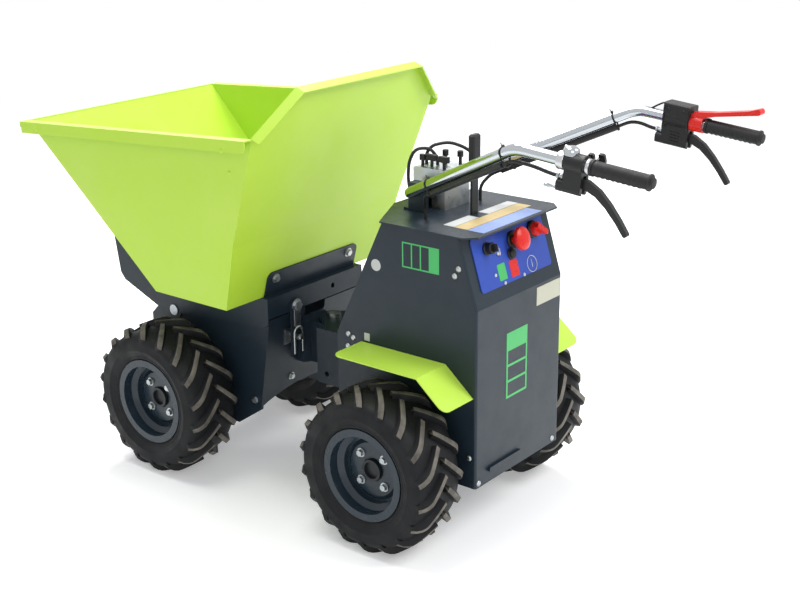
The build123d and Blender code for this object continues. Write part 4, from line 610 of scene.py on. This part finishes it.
def tread_tree():
    tree = bpy.data.node_groups.new("tread_rows", "GeometryNodeTree")
    add_input(tree, "Carcass", "NodeSocketGeometry")
    ids = {
        "left": add_input(tree, "Left bar", "NodeSocketObject"),
        "right": add_input(tree, "Right bar", "NodeSocketObject"),
        "count": add_input(tree, "Bars per row", "NodeSocketInt", LUGS_PER_ROW),
        "finish": add_input(tree, "Finish", "NodeSocketMaterial"),
    }
    tree.interface.new_socket("Tyre", in_out="OUTPUT", socket_type="NodeSocketGeometry")
    make = tree.nodes.new
    link = tree.links.new
    given = make("NodeGroupInput")
    pitch = make("ShaderNodeMath")
    pitch.operation = "DIVIDE"
    pitch.inputs[0].default_value = 2 * pi
    link(given.outputs["Bars per row"], pitch.inputs[1])
    join = make("GeometryNodeJoinGeometry")
    link(given.outputs["Carcass"], join.inputs[0])
    for side, offset in (("Left bar", 0.0), ("Right bar", 0.5)):
        line = make("GeometryNodeMeshLine")
        line.inputs["Offset"].default_value = (0, 0, 0)
        link(given.outputs["Bars per row"], line.inputs["Count"])
        index = make("GeometryNodeInputIndex")
        moved = make("ShaderNodeMath")
        moved.operation = "ADD"
        moved.inputs[1].default_value = offset
        link(index.outputs[0], moved.inputs[0])
        turn = make("ShaderNodeMath")
        turn.operation = "MULTIPLY"
        link(moved.outputs[0], turn.inputs[0])
        link(pitch.outputs[0], turn.inputs[1])
        angles = make("ShaderNodeCombineXYZ")
        link(turn.outputs[0], angles.inputs["Y"])
        bar = make("GeometryNodeObjectInfo")
        link(given.outputs[side], bar.inputs["Object"])
        place = make("GeometryNodeInstanceOnPoints")
        link(line.outputs["Mesh"], place.inputs["Points"])
        link(bar.outputs["Geometry"], place.inputs["Instance"])
        link(angles.outputs[0], place.inputs["Rotation"])
        link(place.outputs[0], join.inputs[0])
    end_tree(tree, given, join.outputs[0])
    return tree, ids


# %% Four tyres
def make_tyres():
    tree, ids = tread_tree()
    left = plain_object("left_bar", lug_shape(1))
    right = plain_object("right_bar", lug_shape(-1))
    carrier = plain_object("tyre_carrier", carcass_shape())
    rows = carrier.modifiers.new("rows", "NODES")
    rows.node_group = tree
    rows[ids["left"]] = left
    rows[ids["right"]] = right
    rows[ids["count"]] = LUGS_PER_ROW
    rows[ids["finish"]] = tyre_black
    pattern = plain_mesh(carrier)
    for wheel in WHEELS:
        low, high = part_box(f"tyre_{wheel}")
        mesh = pattern.copy()
        mesh.transform(Matrix.Translation((low + high) / 2))
        tyre = add_object(f"tread_{wheel}", mesh)
        smooth_by_angle(mesh, 40)
        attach(tyre, f"wheel_{wheel}")
        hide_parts(f"tyre_{wheel}")
        print(tyre.name, len(mesh.polygons), "faces")
    for spare in (left, right, carrier):
        bpy.data.objects.remove(spare)


make_tyres()

# %% [markdown]
# ## Bolts
# Screws and bolt heads are one head put on many points. Each point carries the way its bolt
# faces, as an attribute, and Geometry Nodes turn a small hexagon head on a washer to it.

# %% Bolt tree
def hex_head(radius, height):
    """A hexagon head on a washer, standing on the XY plane."""
    shape = bmesh.new()
    washer = bmesh.ops.create_cone(shape, cap_ends=True, segments=20, radius1=radius * 1.5,
                                   radius2=radius * 1.5, depth=height * 0.25)
    bmesh.ops.translate(shape, verts=washer["verts"], vec=(0, 0, height * 0.125))
    head = bmesh.ops.create_cone(shape, cap_ends=True, segments=6, radius1=radius * 1.15,
                                 radius2=radius * 1.05, depth=height * 0.75)
    bmesh.ops.translate(shape, verts=head["verts"], vec=(0, 0, height * 0.625))
    return shape


def dome_head(radius, height, steps=5, sides=16):
    """A low domed rivet or screw head standing on the XY plane."""
    shape = bmesh.new()
    rings = []
    for step in range(steps):
        lift = step / steps * pi / 2
        rings.append([shape.verts.new((radius * cos(lift) * cos(2 * pi * i / sides),
                                       radius * cos(lift) * sin(2 * pi * i / sides),
                                       height * sin(lift))) for i in range(sides)])
    for lower, upper in zip(rings, rings[1:]):
        for i in range(sides):
            j = (i + 1) % sides
            shape.faces.new((lower[i], lower[j], upper[j], upper[i]))
    shape.faces.new(rings[0][::-1])
    shape.faces.new(rings[-1])
    return shape


def head_tree():
    tree = bpy.data.node_groups.new("heads_on_points", "GeometryNodeTree")
    add_input(tree, "Points", "NodeSocketGeometry")
    ids = {"head": add_input(tree, "Head", "NodeSocketObject"),
           "finish": add_input(tree, "Finish", "NodeSocketMaterial")}
    tree.interface.new_socket("Heads", in_out="OUTPUT", socket_type="NodeSocketGeometry")
    make = tree.nodes.new
    link = tree.links.new
    given = make("NodeGroupInput")
    facing = make("GeometryNodeInputNamedAttribute")
    facing.data_type = "FLOAT_VECTOR"
    facing.inputs["Name"].default_value = "facing"
    turn = make("FunctionNodeAlignRotationToVector")
    turn.axis = "Z"
    link(facing.outputs["Attribute"], turn.inputs["Vector"])
    head = make("GeometryNodeObjectInfo")
    link(given.outputs["Head"], head.inputs["Object"])
    place = make("GeometryNodeInstanceOnPoints")
    link(given.outputs["Points"], place.inputs["Points"])
    link(head.outputs["Geometry"], place.inputs["Instance"])
    link(turn.outputs["Rotation"], place.inputs["Rotation"])
    end_tree(tree, given, place.outputs[0])
    return tree, ids


HEADS, HEAD_IDS = head_tree()


def add_heads(name, body, head_shape, finish, places):
    """Puts one head on each place, a point and the way it faces, and bakes them to one piece."""
    mesh = bpy.data.meshes.new(name + "_points")
    mesh.from_pydata([tuple(point) for point, facing in places], [], [])
    facing_layer = mesh.attributes.new("facing", "FLOAT_VECTOR", "POINT")
    for i, (point, facing) in enumerate(places):
        facing_layer.data[i].vector = Vector(facing).normalized()
    carrier = add_object(name + "_points", mesh)
    head = plain_object(name + "_head", head_shape)
    heads = carrier.modifiers.new("heads", "NODES")
    heads.node_group = HEADS
    heads[HEAD_IDS["head"]] = head
    heads[HEAD_IDS["finish"]] = finish
    mesh = plain_mesh(carrier)
    mesh.name = name
    bpy.data.objects.remove(carrier)
    piece = add_object(name, mesh)
    smooth_by_angle(mesh, SMOOTH_ANGLE)
    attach(piece, body)
    bpy.data.objects.remove(head)
    print(name, len(places), "heads,", len(mesh.polygons), "faces")


# %% Wheel bolts
STUD_CIRCLE = 0.050
STUD_HOLE = 0.0065
BESIDE_HOLE = 0.003
LOOK_FROM = 0.12
STUDS = 4


def wheel_bolts():
    for wheel in WHEELS:
        low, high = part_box(f"tyre_{wheel}")
        centre = (low + high) / 2
        way = 1 if centre.y > 0 else -1
        places = []
        for i in range(STUDS):
            turn = pi / 4 + i * 2 * pi / STUDS
            out = Vector((cos(turn), 0, sin(turn)))
            beside = (centre + out * (STUD_CIRCLE - STUD_HOLE - BESIDE_HOLE)
                      + Vector((0, way * LOOK_FROM, 0)))
            disc, facing = seat(f"rim_{wheel}", beside, (0, -way, 0))
            places.append((disc + out * (STUD_HOLE + BESIDE_HOLE), facing))
        add_heads(f"wheel_bolts_{wheel}", f"wheel_{wheel}", hex_head(0.0078, 0.010), zinc, places)


wheel_bolts()

# %% [markdown]
# ### Bolts of the sheet metal
# The tower, the joint and the cradle are bolted. Each place is given by the piece, a point in
# front of it and the way to look from there; a ray finds the sheet, so that every head sits on
# it and faces off it.

# %% Sheet bolts
def from_sides(piece, reach, spots):
    """The same spots on both sides of a piece, each looked at from a reach beside it."""
    return [(piece, (x, side * reach, z), (0, -side, 0)) for side in (1, -1) for x, z in spots]


def from_behind(piece, reach, spots):
    """Spots on a piece's back, looked at from a place on X."""
    return [(piece, (reach, y, z), (1, 0, 0)) for y, z in spots]


TOWER_BOLTS = (
    from_sides("tower_shell", 0.3, ((-0.400, 0.705), (-0.389, 0.686), (-0.082, 0.469),
                                    (-0.066, 0.476), (-0.064, 0.444), (-0.432, 0.244)))
    + from_behind("tower_shell", -0.6, ((0.167, 0.179), (-0.155, 0.179)))
    + from_sides("pivot_carrier", 0.3, ((0.006, 0.410), (0.006, 0.300))))
CRADLE_BOLTS = from_behind("tipping_frame", 0.0, ((0.146, 0.559), (-0.140, 0.559)))
LATCH_BOLT = from_behind("tip_latch", 0.0, ((0.086, 0.472),))
CHASSIS_BOLTS = (from_behind("front_chassis", 0.0, ((0.069, 0.256), (-0.069, 0.256)))
                 + from_sides("front_chassis", 0.3, ((0.268, 0.214), (0.636, 0.214))))
SKIP_RIVETS = from_sides("skip", 0.6, ((0.846, 0.908), (0.150, 0.940), (0.158, 0.880)))


def sheet_bolts():
    for name, body, head, finish, aims in (
        ("tower_bolts", "rear_frame", dome_head(0.0075, 0.0045), zinc, TOWER_BOLTS),
        ("cradle_bolts", "skip_body", hex_head(0.0085, 0.009), zinc, CRADLE_BOLTS),
        ("latch_bolt", "skip_body", hex_head(0.0115, 0.011), zinc, LATCH_BOLT),
        ("chassis_bolts", "front_frame", hex_head(0.007, 0.008), zinc, CHASSIS_BOLTS),
        ("skip_rivets", "skip_body", dome_head(0.006, 0.003), skip_green, SKIP_RIVETS),
    ):
        add_heads(name, body, head, finish, [seat(*aim) for aim in aims])


sheet_bolts()

# %% [markdown]
# ## Shapes for small parts
# Turned parts come from a lathe of a short profile, plates from an outline with a broken edge,
# rings and wires from a round section swept along points. Blender's own primitives would do for
# blanks, but these give real edges and no stretched caps.

# %% Shape helpers
def move(x, y, z):
    return Matrix.Translation((x, y, z))


def turned(degrees, axis):
    return Matrix.Rotation(radians(degrees), 4, axis)


def lathe(profile, place, segments=28):
    """Turns radius and height pairs about Z and puts the result on a place."""
    shape = bmesh.new()
    rings = []
    for radius, height in profile:
        if radius < 1e-6:
            rings.append([shape.verts.new((0, 0, height))])
        else:
            rings.append([shape.verts.new((radius * cos(2 * pi * i / segments),
                                           radius * sin(2 * pi * i / segments), height))
                          for i in range(segments)])
    for low, high in zip(rings, rings[1:]):
        for i in range(segments):
            j = (i + 1) % segments
            corners = [low[i % len(low)], low[j % len(low)],
                       high[j % len(high)], high[i % len(high)]]
            unique = list(dict.fromkeys(corners))
            if len(unique) > 2:
                shape.faces.new(unique)
    for ring in (rings[0], rings[-1]):
        if len(ring) > 1:
            shape.faces.new(ring)
    shape.transform(place)
    return shape


def slab(outline, height, place, edge=0.0003):
    """A plate of an outline in the XY plane, slightly smaller at its outer face."""
    shape = bmesh.new()
    middle = Vector((sum(x for x, y in outline) / len(outline),
                     sum(y for x, y in outline) / len(outline)))
    rings = []
    for inset, z in ((0, 0), (0, height - edge), (edge, height)):
        ring = []
        for x, y in outline:
            inward = (middle - Vector((x, y))).normalized() * inset * 1.4
            ring.append(shape.verts.new((x + inward.x, y + inward.y, z)))
        rings.append(ring)
    for low, high in zip(rings, rings[1:]):
        for i in range(len(low)):
            j = (i + 1) % len(low)
            shape.faces.new((low[i], low[j], high[j], high[i]))
    shape.faces.new(rings[0][::-1])
    shape.faces.new(rings[-1])
    shape.transform(place)
    return shape


def rounded(width, height, radius, x=0.0, y=0.0, steps=5):
    """Outline of a rectangle with round corners about a middle point."""
    outline = []
    for corner, (sx, sy) in enumerate(((1, 1), (-1, 1), (-1, -1), (1, -1))):
        for step in range(steps + 1):
            turn = (corner + step / steps) * pi / 2
            outline.append((x + sx * (width / 2 - radius) + radius * cos(turn),
                            y + sy * (height / 2 - radius) + radius * sin(turn)))
    return outline


def oblong(left, right, low, high):
    """Outline of a rectangle with sharp corners."""
    return [(left, low), (right, low), (right, high), (left, high)]


def circle(radius, steps, y=0.0, z=0.0):
    """Points round a circle in a plane of X and Y."""
    return [(radius * cos(2 * pi * i / steps), radius * sin(2 * pi * i / steps) + y, z)
            for i in range(steps)]


def sweep(points, radius, sides=10, closed=False, place=Matrix()):
    """A round wire along points, on a place; its section is carried on without twisting."""
    shape = bmesh.new()
    points = [Vector(point) for point in points]
    count = len(points)
    rings = []
    side = None
    for i, point in enumerate(points):
        after = points[(i + 1) % count] if closed or i < count - 1 else point
        before = points[i - 1] if closed or i else point
        along = (after - before).normalized()
        if side is None:
            side = along.orthogonal().normalized()
        side = (side - along * side.dot(along)).normalized()
        across = along.cross(side)
        rings.append([shape.verts.new(point + side * radius * cos(2 * pi * k / sides)
                                      + across * radius * sin(2 * pi * k / sides))
                      for k in range(sides)])
    pairs = list(zip(rings, rings[1:])) + ([(rings[-1], rings[0])] if closed else [])
    for low, high in pairs:
        for k in range(sides):
            shape.faces.new((low[k], low[(k + 1) % sides], high[(k + 1) % sides], high[k]))
    if not closed:
        shape.faces.new(rings[0][::-1])
        shape.faces.new(rings[-1])
    shape.transform(place)
    return shape


def face_place(origin, right, up):
    """A place on a face: x runs to the right on it, y up, z out of it."""
    right, up = Vector(right).normalized(), Vector(up).normalized()
    turn = Matrix((right, up, right.cross(up))).transposed().to_4x4()
    return Matrix.Translation(Vector(origin)) @ turn


def gather(shapes):
    """Joins several shapes into one."""
    whole = bmesh.new()
    for shape in shapes:
        holder = bpy.data.meshes.new("holder")
        bmesh.ops.recalc_face_normals(shape, faces=shape.faces)
        shape.to_mesh(holder)
        shape.free()
        whole.from_mesh(holder)
        bpy.data.meshes.remove(holder)
    return whole


print("shape helpers ready")

# %% [markdown]
# ## Panel
# The sloping panel has screws, a round button, two coloured plates and a gauge with a ring and
# a needle. All are flat or turned parts, laid out on the panel's own plane so that they follow
# its slope. They could be a picture on the sheet, but then they would stay flat in every light.

# %% Panel details
SLOPE_TOP = Vector((-0.399, 0, 0.779))
SLOPE_KNEE = Vector((-0.451, 0, 0.612))
PANEL_PROUD = 0.0025
PLATE = 0.0006
GAUGE_SPOT = (0.066, -0.1215)
SCREW_SPOTS = ((-0.0547, -0.0677), (-0.0825, -0.1128), (-0.0535, -0.1385), (0.0262, -0.1385))


def on_panel(right, up):
    """A place on the panel, from the middle of its upper edge."""
    slope = face_place(SLOPE_TOP, (0, -1, 0), SLOPE_TOP - SLOPE_KNEE)
    return slope @ move(right, up, PANEL_PROUD)


def panel_details():
    shapes = [lathe([(0.0042, 0), (0.0042, 0.001), (0.003, 0.0022), (0, 0.0026)],
                    on_panel(*spot), 16) for spot in SCREW_SPOTS]
    shapes.append(sweep(circle(0.0195, 40, z=0.0004), 0.0008, 6, True, on_panel(*GAUGE_SPOT)))
    needle = [(-0.001, -0.008), (0.001, -0.008), (0.0006, 0.012), (-0.0006, 0.012)]
    shapes.append(slab(needle, PLATE, on_panel(*GAUGE_SPOT), 0.0001))
    rear_piece("panel_screws", gather(shapes), plate_white)
    start = slab(rounded(0.031, 0.039, 0.003), PLATE, on_panel(-0.0552, -0.1115))
    rear_piece("start_plate", start, plate_green)
    stop = slab(rounded(0.033, 0.040, 0.003), PLATE, on_panel(-0.006, -0.1140))
    rear_piece("stop_plate", stop, signal_red)
    button = lathe([(0.0135, 0), (0.0135, 0.003), (0.0115, 0.0045), (0.0105, 0.0045),
                    (0.0105, 0.008), (0.0092, 0.0098), (0, 0.0104)], on_panel(-0.007, -0.0800))
    rear_piece("round_button", button, black_plastic)


# %% [markdown]
# ### Switches
# Emergency stop, isolator and key lock are what a driver looks for first, so each gets its full
# turned shape, in place of the frame's plainer one: a mushroom on a neck and a collar, a red knob
# with a grip bar, and a lock with its key and key ring.

# %% Switches
def switches():
    stop_place = on_panel(0.0118, -0.0505)
    head = lathe([(0.0105, 0), (0.0105, 0.0200), (0.0240, 0.0215), (0.0280, 0.0250), (0.0285, 0.0290),
                  (0.0270, 0.0335), (0.0210, 0.0375), (0.0110, 0.0398), (0, 0.0404)], stop_place, 36)
    mushroom = rear_piece("stop_mushroom", head, signal_red)
    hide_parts("stop_button")
    collar = lathe([(0.0225, 0), (0.0225, 0.004), (0.0205, 0.0065), (0.0120, 0.0065),
                    (0.0120, 0.001)], stop_place)
    rear_piece("stop_collar", collar, black_plastic)

    isolator_place = on_panel(0.097, -0.0445)
    body = lathe([(0.0165, 0.004), (0.0165, 0.0190), (0.0150, 0.0215), (0, 0.0222)], isolator_place)
    bar = slab(rounded(0.042, 0.012, 0.004), 0.0125,
               isolator_place @ turned(-38, "Z") @ move(0.004, 0, 0.0205), 0.0012)
    knob = rear_piece("isolator_handle", gather([body, bar]), signal_red)
    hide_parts("isolator_knob")
    base = lathe([(0.0215, 0), (0.0215, 0.006), (0.0190, 0.009), (0.0170, 0.009),
                  (0.0170, 0.001)], isolator_place)
    rear_piece("isolator_collar", base, black_plastic)

    lock_place = on_panel(-0.093, -0.0475)
    lock = lathe([(0.0155, 0), (0.0155, 0.004), (0.0135, 0.006), (0.0135, 0.0190), (0.0120, 0.0205),
                  (0.0095, 0.0205), (0.0095, 0.0190), (0, 0.0190)], lock_place)
    bow = slab(rounded(0.0024, 0.0170, 0.0008), 0.0140, lock_place @ move(0, 0, 0.0185), 0.0008)
    key_lock = rear_piece("key_lock", gather([lock, bow]), black_plastic)
    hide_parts("key_switch")
    key_ring = sweep(circle(0.013, 28, -0.008), 0.0011, 6, True,
                     lock_place @ move(0, 0, 0.0290) @ turned(62, "Y"))
    rear_piece("key_ring", key_ring, bright_steel)


panel_details()
switches()
print("panel details made")

# %% [markdown]
# ## Plates and strips
# Bare plates mark the places of the instructions, and a gauge of plain bars marks the battery's
# charge on the side and on the back. They are thin slabs with a broken edge, glued on; text on
# them would be a curve made into a mesh, but these stay plain.

# %% Plates
DECK_TOP = 0.783
TOWER_SIDE = 0.180
TOWER_BACK = -0.451
TO_RIGHT, TO_FRONT, TO_BACK = (0, -1, 0), (1, 0, 0), (-1, 0, 0)
UPWARDS, DOWNWARDS = (0, 0, 1), (0, 0, -1)
CELLS = 4
FIRST_FULL = 3


def deck_strips():
    """Strips on the deck: name, finish, and their edges along and across the machine."""
    for name, finish, x_from, x_to, y_from, y_to in (
        ("deck_strip_front_right", plate_white, -0.347, -0.317, -0.138, -0.014),
        ("deck_strip_front_left", plate_white, -0.347, -0.317, 0.026, 0.126),
        ("deck_strip_middle", plate_amber, -0.387, -0.349, -0.136, 0.128),
        ("deck_strip_back", plate_blue, -0.434, -0.389, -0.112, 0.130),
    ):
        place = face_place(((x_from + x_to) / 2, (y_from + y_to) / 2, DECK_TOP), TO_RIGHT, TO_FRONT)
        strip = slab(rounded(y_to - y_from, x_to - x_from, 0.002), PLATE, place)
        rear_piece(name, strip, finish)


def bare_plates():
    back = face_place((TOWER_BACK, -0.121, 0.581), TO_RIGHT, UPWARDS)
    rear_piece("back_plate", slab(rounded(0.104, 0.046, 0.002), 0.0008, back), plate_pale)
    side = face_place((-0.126, TOWER_SIDE, 0.481), TO_BACK, UPWARDS)
    rear_piece("side_plate", slab(rounded(0.017, 0.020, 0.001), PLATE, side), plate_white)
    disc = lathe([(0.0145, 0), (0.0145, 0.0005), (0.0142, 0.0008), (0, 0.0008)],
                 face_place((-0.158, TOWER_SIDE, 0.670), TO_BACK, UPWARDS), 32)
    rear_piece("side_disc", disc, plate_white)


def charge_gauge(name, place, width, height, wall):
    """A frame with bars between its cells; the cells from the first full one on are filled."""
    right, top = width / 2, height / 2
    pitch = height / CELLS
    outlines = []
    for i in range(CELLS + 1):
        low = -top + i * pitch - wall / 2
        outlines.append(oblong(-right, right, low, low + wall))
    for i in range(CELLS):
        low, high = -top + i * pitch + wall / 2, -top + (i + 1) * pitch - wall / 2
        spans = [(-right, wall - right), (right - wall, right)]
        if i >= FIRST_FULL:
            spans = [(-right, right)]
        outlines += [oblong(start, end, low, high) for start, end in spans]
    rear_piece(name, gather([slab(outline, PLATE, place) for outline in outlines]), plate_green)


deck_strips()
bare_plates()
charge_gauge("side_gauge", face_place((-0.2915, TOWER_SIDE, 0.7115), DOWNWARDS, TO_BACK),
             0.062, 0.104, 0.0035)
charge_gauge("back_gauge", face_place((TOWER_BACK, 0.013, 0.441), TO_RIGHT, UPWARDS),
             0.088, 0.160, 0.0060)
print("plates made")

# %% [markdown]
# ## Handlebar fittings
# Ties hold each cable sleeve to the tube, the grips have raised ribs, and a clamp with a domed
# cap and two thumb pads sits before the left one. The lever housings have ribs, screws, cable
# adjusters and a thin switch cable. All are swept or turned round the tube's own axis, which is
# worked out from the tube's corner points, so that they follow its slope.

# %% Handlebar fittings
BAR_END = Vector((-0.906, 0.249, 0.994))
BAR_BEND = Vector((-0.599, 0.253, 1.023))
BAR_FOOT = Vector((-0.191, 0.106, 0.832))
BAR_RADIUS = 0.013
LEFT_FRONT = 0.1840
RIGHT_FRONT = 0.2310
HOUSING_SIDE = 0.0208
TIE_WIRE = 0.0009
GRIP_RIBS = 9
FIRST_RIB = 0.018
RIB_PITCH = 0.0118
# Radius and height of a cable adjuster's section, as shares of its size.
ADJUSTER = ((1, 0), (1, 0.25), (1.5, 0.27), (1.5, 0.42), (1, 0.44), (1, 0.72), (1.35, 0.75),
            (1.35, 0.95), (1.1, 1))


def flipped(point, side):
    return Vector((point.x, point.y * side, point.z))


def tube_place(start, end, side, along):
    """A place on the tube's axis: z runs along it, y up, at a distance from the start."""
    start, end = flipped(start, side), flipped(end, side)
    way = (end - start).normalized()
    right = way.cross(Vector((0, 0, 1))).normalized()
    turn = Matrix((-right, right.cross(way), way)).transposed().to_4x4()
    return Matrix.Translation(start + way * along) @ turn


def handle_place(side, along):
    """A place on a handle, at a distance from its rear end; z runs forwards."""
    return tube_place(BAR_END, BAR_BEND, side, along)


def leg_place(side, along):
    """A place on a falling leg, at a distance from the upper bend; z runs down."""
    return tube_place(BAR_BEND, BAR_FOOT, side, along)


def half_circle(radius, start, steps, y=0.0):
    turns = [start + pi * i / steps for i in range(steps + 1)]
    return [(radius * cos(turn), y + radius * sin(turn)) for turn in turns]


def cable_ties():
    """Bands round the tube and the sleeve below it, each with its lock and a cut tail."""
    outline = half_circle(BAR_RADIUS + 0.0012, 0, 12) + half_circle(0.0094, pi, 10, -0.0213)
    shapes = []
    for side, along in ((1, 0.045), (1, 0.360), (-1, 0.058), (-1, 0.330)):
        place = leg_place(side, along)
        shapes += [sweep([(x, y, layer) for x, y in outline], TIE_WIRE, 6, True, place)
                   for layer in (-0.0012, 0.0, 0.0012)]
        shapes.append(slab(rounded(0.006, 0.0055, 0.001), 0.005,
                           place @ move(0.0, BAR_RADIUS + 0.0022, -0.0025)))
        tail = [(0.001, BAR_RADIUS + 0.003, 0), (0.0025, BAR_RADIUS + 0.007, 0.001),
                (0.003, BAR_RADIUS + 0.010, 0.002)]
        shapes.append(sweep(tail, TIE_WIRE, 6, place=place))
    rear_piece("cable_ties", gather(shapes), black_plastic)


def grip_ribs():
    """Ribs round each grip, and the bead at its end."""
    rib = [(0.0150, -0.0034), (0.0160, -0.0014), (0.0160, 0.0014), (0.0150, 0.0034)]
    bead = [(0.0110, -0.0088), (0.0110, -0.0100), (0.0085, -0.0106), (0, -0.0108)]
    shapes = []
    for side in (1, -1):
        shapes += [lathe(rib, handle_place(side, FIRST_RIB + i * RIB_PITCH) @ move(0, -0.0006, 0), 24)
                   for i in range(GRIP_RIBS)]
        shapes.append(lathe(bead, handle_place(side, 0), 24))
    rear_piece("grip_ribs", gather(shapes), grip_rubber)


def tube_collar(along, radius, half):
    """A ring on the left handle, with its outer edges broken."""
    edge = half - 0.002
    profile = [(BAR_RADIUS, -half), (radius - 0.001, -half), (radius, -edge), (radius, edge),
               (radius - 0.001, half), (BAR_RADIUS, half)]
    return lathe(profile, handle_place(1, along))


def left_clamp():
    """Split collar with its ear, a domed cap on it, and two small thumb pads by the grip."""
    ear = slab(rounded(0.012, 0.016, 0.003, 0, 0.024), 0.012,
               handle_place(1, 0.190) @ turned(35, "Z"))
    collars = [tube_collar(0.196, 0.0195, 0.008), ear, tube_collar(0.134, 0.0170, 0.004)]
    rear_piece("left_collars", gather(collars), bright_steel)
    dome = lathe([(0.0170, -0.004), (0.0170, 0.003), (0.0155, 0.0085), (0.011, 0.0125),
                  (0.005, 0.0142), (0, 0.0145)],
                 handle_place(1, 0.178) @ turned(-90, "X") @ move(0, 0, 0.0195))
    rear_piece("lever_cap", dome, chrome)
    pads = []
    for along, out, wide, long in ((0.150, 0.024, 0.013, 0.016), (0.126, 0.026, 0.014, 0.024)):
        base = handle_place(1, along) @ turned(62, "Z")
        pads.append(slab(rounded(0.0045, out, 0.001, 0, out / 2 + 0.008), 0.005, base))
        pads.append(slab(rounded(wide, long, 0.004), 0.006,
                         base @ move(0, out + 0.008, -0.004) @ turned(90, "X") @ turned(90, "Z")))
    rear_piece("thumb_pads", gather(pads), black_plastic)


def right_housing():
    """Raised ribs, two beads and two screws on the switch housing of the right handle."""
    place = handle_place(-1, 0.198)
    facing_side = turned(90, "Y")
    shapes = [slab(rounded(0.024, 0.0035, 0.0012), 0.0022,
                   place @ move(0, -0.030 - i * 0.0068, 0) @ facing_side @ move(0, 0, 0.0149))
              for i in range(4)]
    wall = place @ facing_side
    shapes += [slab(rounded(0.0030, 0.052, 0.0010), 0.0016, wall @ move(along, 0.004, HOUSING_SIDE))
               for along in (-0.030, 0.030)]
    screw = [(0.0042, 0), (0.0042, 0.0012), (0.0030, 0.0022), (0.0014, 0.0022),
             (0.0014, 0.0010), (0, 0.0010)]
    shapes += [lathe(screw, wall @ move(along, 0.024, HOUSING_SIDE), 16) for along in (-0.020, 0.020)]
    rear_piece("housing_ribs", gather(shapes), black_plastic)


def cable_adjusters():
    """Threaded sleeves with a lock nut at the front of the lever housings."""
    shapes = []
    for side, along, drop, long, wide in ((1, LEFT_FRONT, 0.059, 0.050, 0.0030),
                                          (1, LEFT_FRONT, 0.034, 0.022, 0.0048),
                                          (-1, RIGHT_FRONT, 0.034, 0.022, 0.0048)):
        profile = [(wide * across, long * height) for across, height in ADJUSTER]
        shapes.append(lathe(profile, handle_place(side, along) @ move(0, -drop, 0), 18))
    rear_piece("cable_adjusters", gather(shapes), zinc)


def switch_cable():
    """Thin cable from the top of the right housing to the tube."""
    path = ((0.033, 0.229), (0.030, 0.243), (0.022, 0.256), (0.012, 0.270), (0.002, 0.284),
            (-0.008, 0.297), (-0.014, 0.312))
    wire = sweep([(0.002, y, z) for y, z in path], 0.0022, place=handle_place(-1, 0))
    rear_piece("switch_cable", wire, cable_black)


cable_ties()
grip_ribs()
left_clamp()
right_housing()
cable_adjusters()
switch_cable()
print("handlebar fittings made")

# %% [markdown]
# ## Skip latch
# The strap that locks the skip ends in a zinc plated fork over a pin. The fork is one rod bent
# to a U, swept along an arc, and a nut closes the pin, which stays with the front module.

# %% Skip latch
FORK_ROD = 0.0034


def skip_latch():
    low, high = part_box("tip_latch")
    middle = (low.y + high.y) / 2
    pin_low, pin_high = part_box("latch_keeper")
    pin = (pin_low.z + pin_high.z) / 2
    across = (high.y - low.y) / 2 - FORK_ROD * 1.4
    back = low.x - FORK_ROD
    arc = [(back, middle - across * cos(pi * i / 12), pin + 0.012 + across * sin(pi * i / 12))
           for i in range(13)]
    path = [(back, middle - across, low.z + 0.006), *arc, (back, middle + across, low.z + 0.006)]
    fork = sweep(path, FORK_ROD, 12)
    plate = slab(rounded(0.024, 0.050, 0.005), 0.003,
                 face_place((low.x, middle, pin + 0.054), TO_RIGHT, UPWARDS))
    add_piece("latch_fork", gather([fork, plate]), "skip_body", zinc)
    nut = hex_head(0.0064, 0.007)
    nut.transform(face_place((pin_low.x - 0.0005, middle, pin), TO_RIGHT, UPWARDS))
    add_piece("latch_nut", nut, "front_frame", zinc)


skip_latch()
print("latch made")
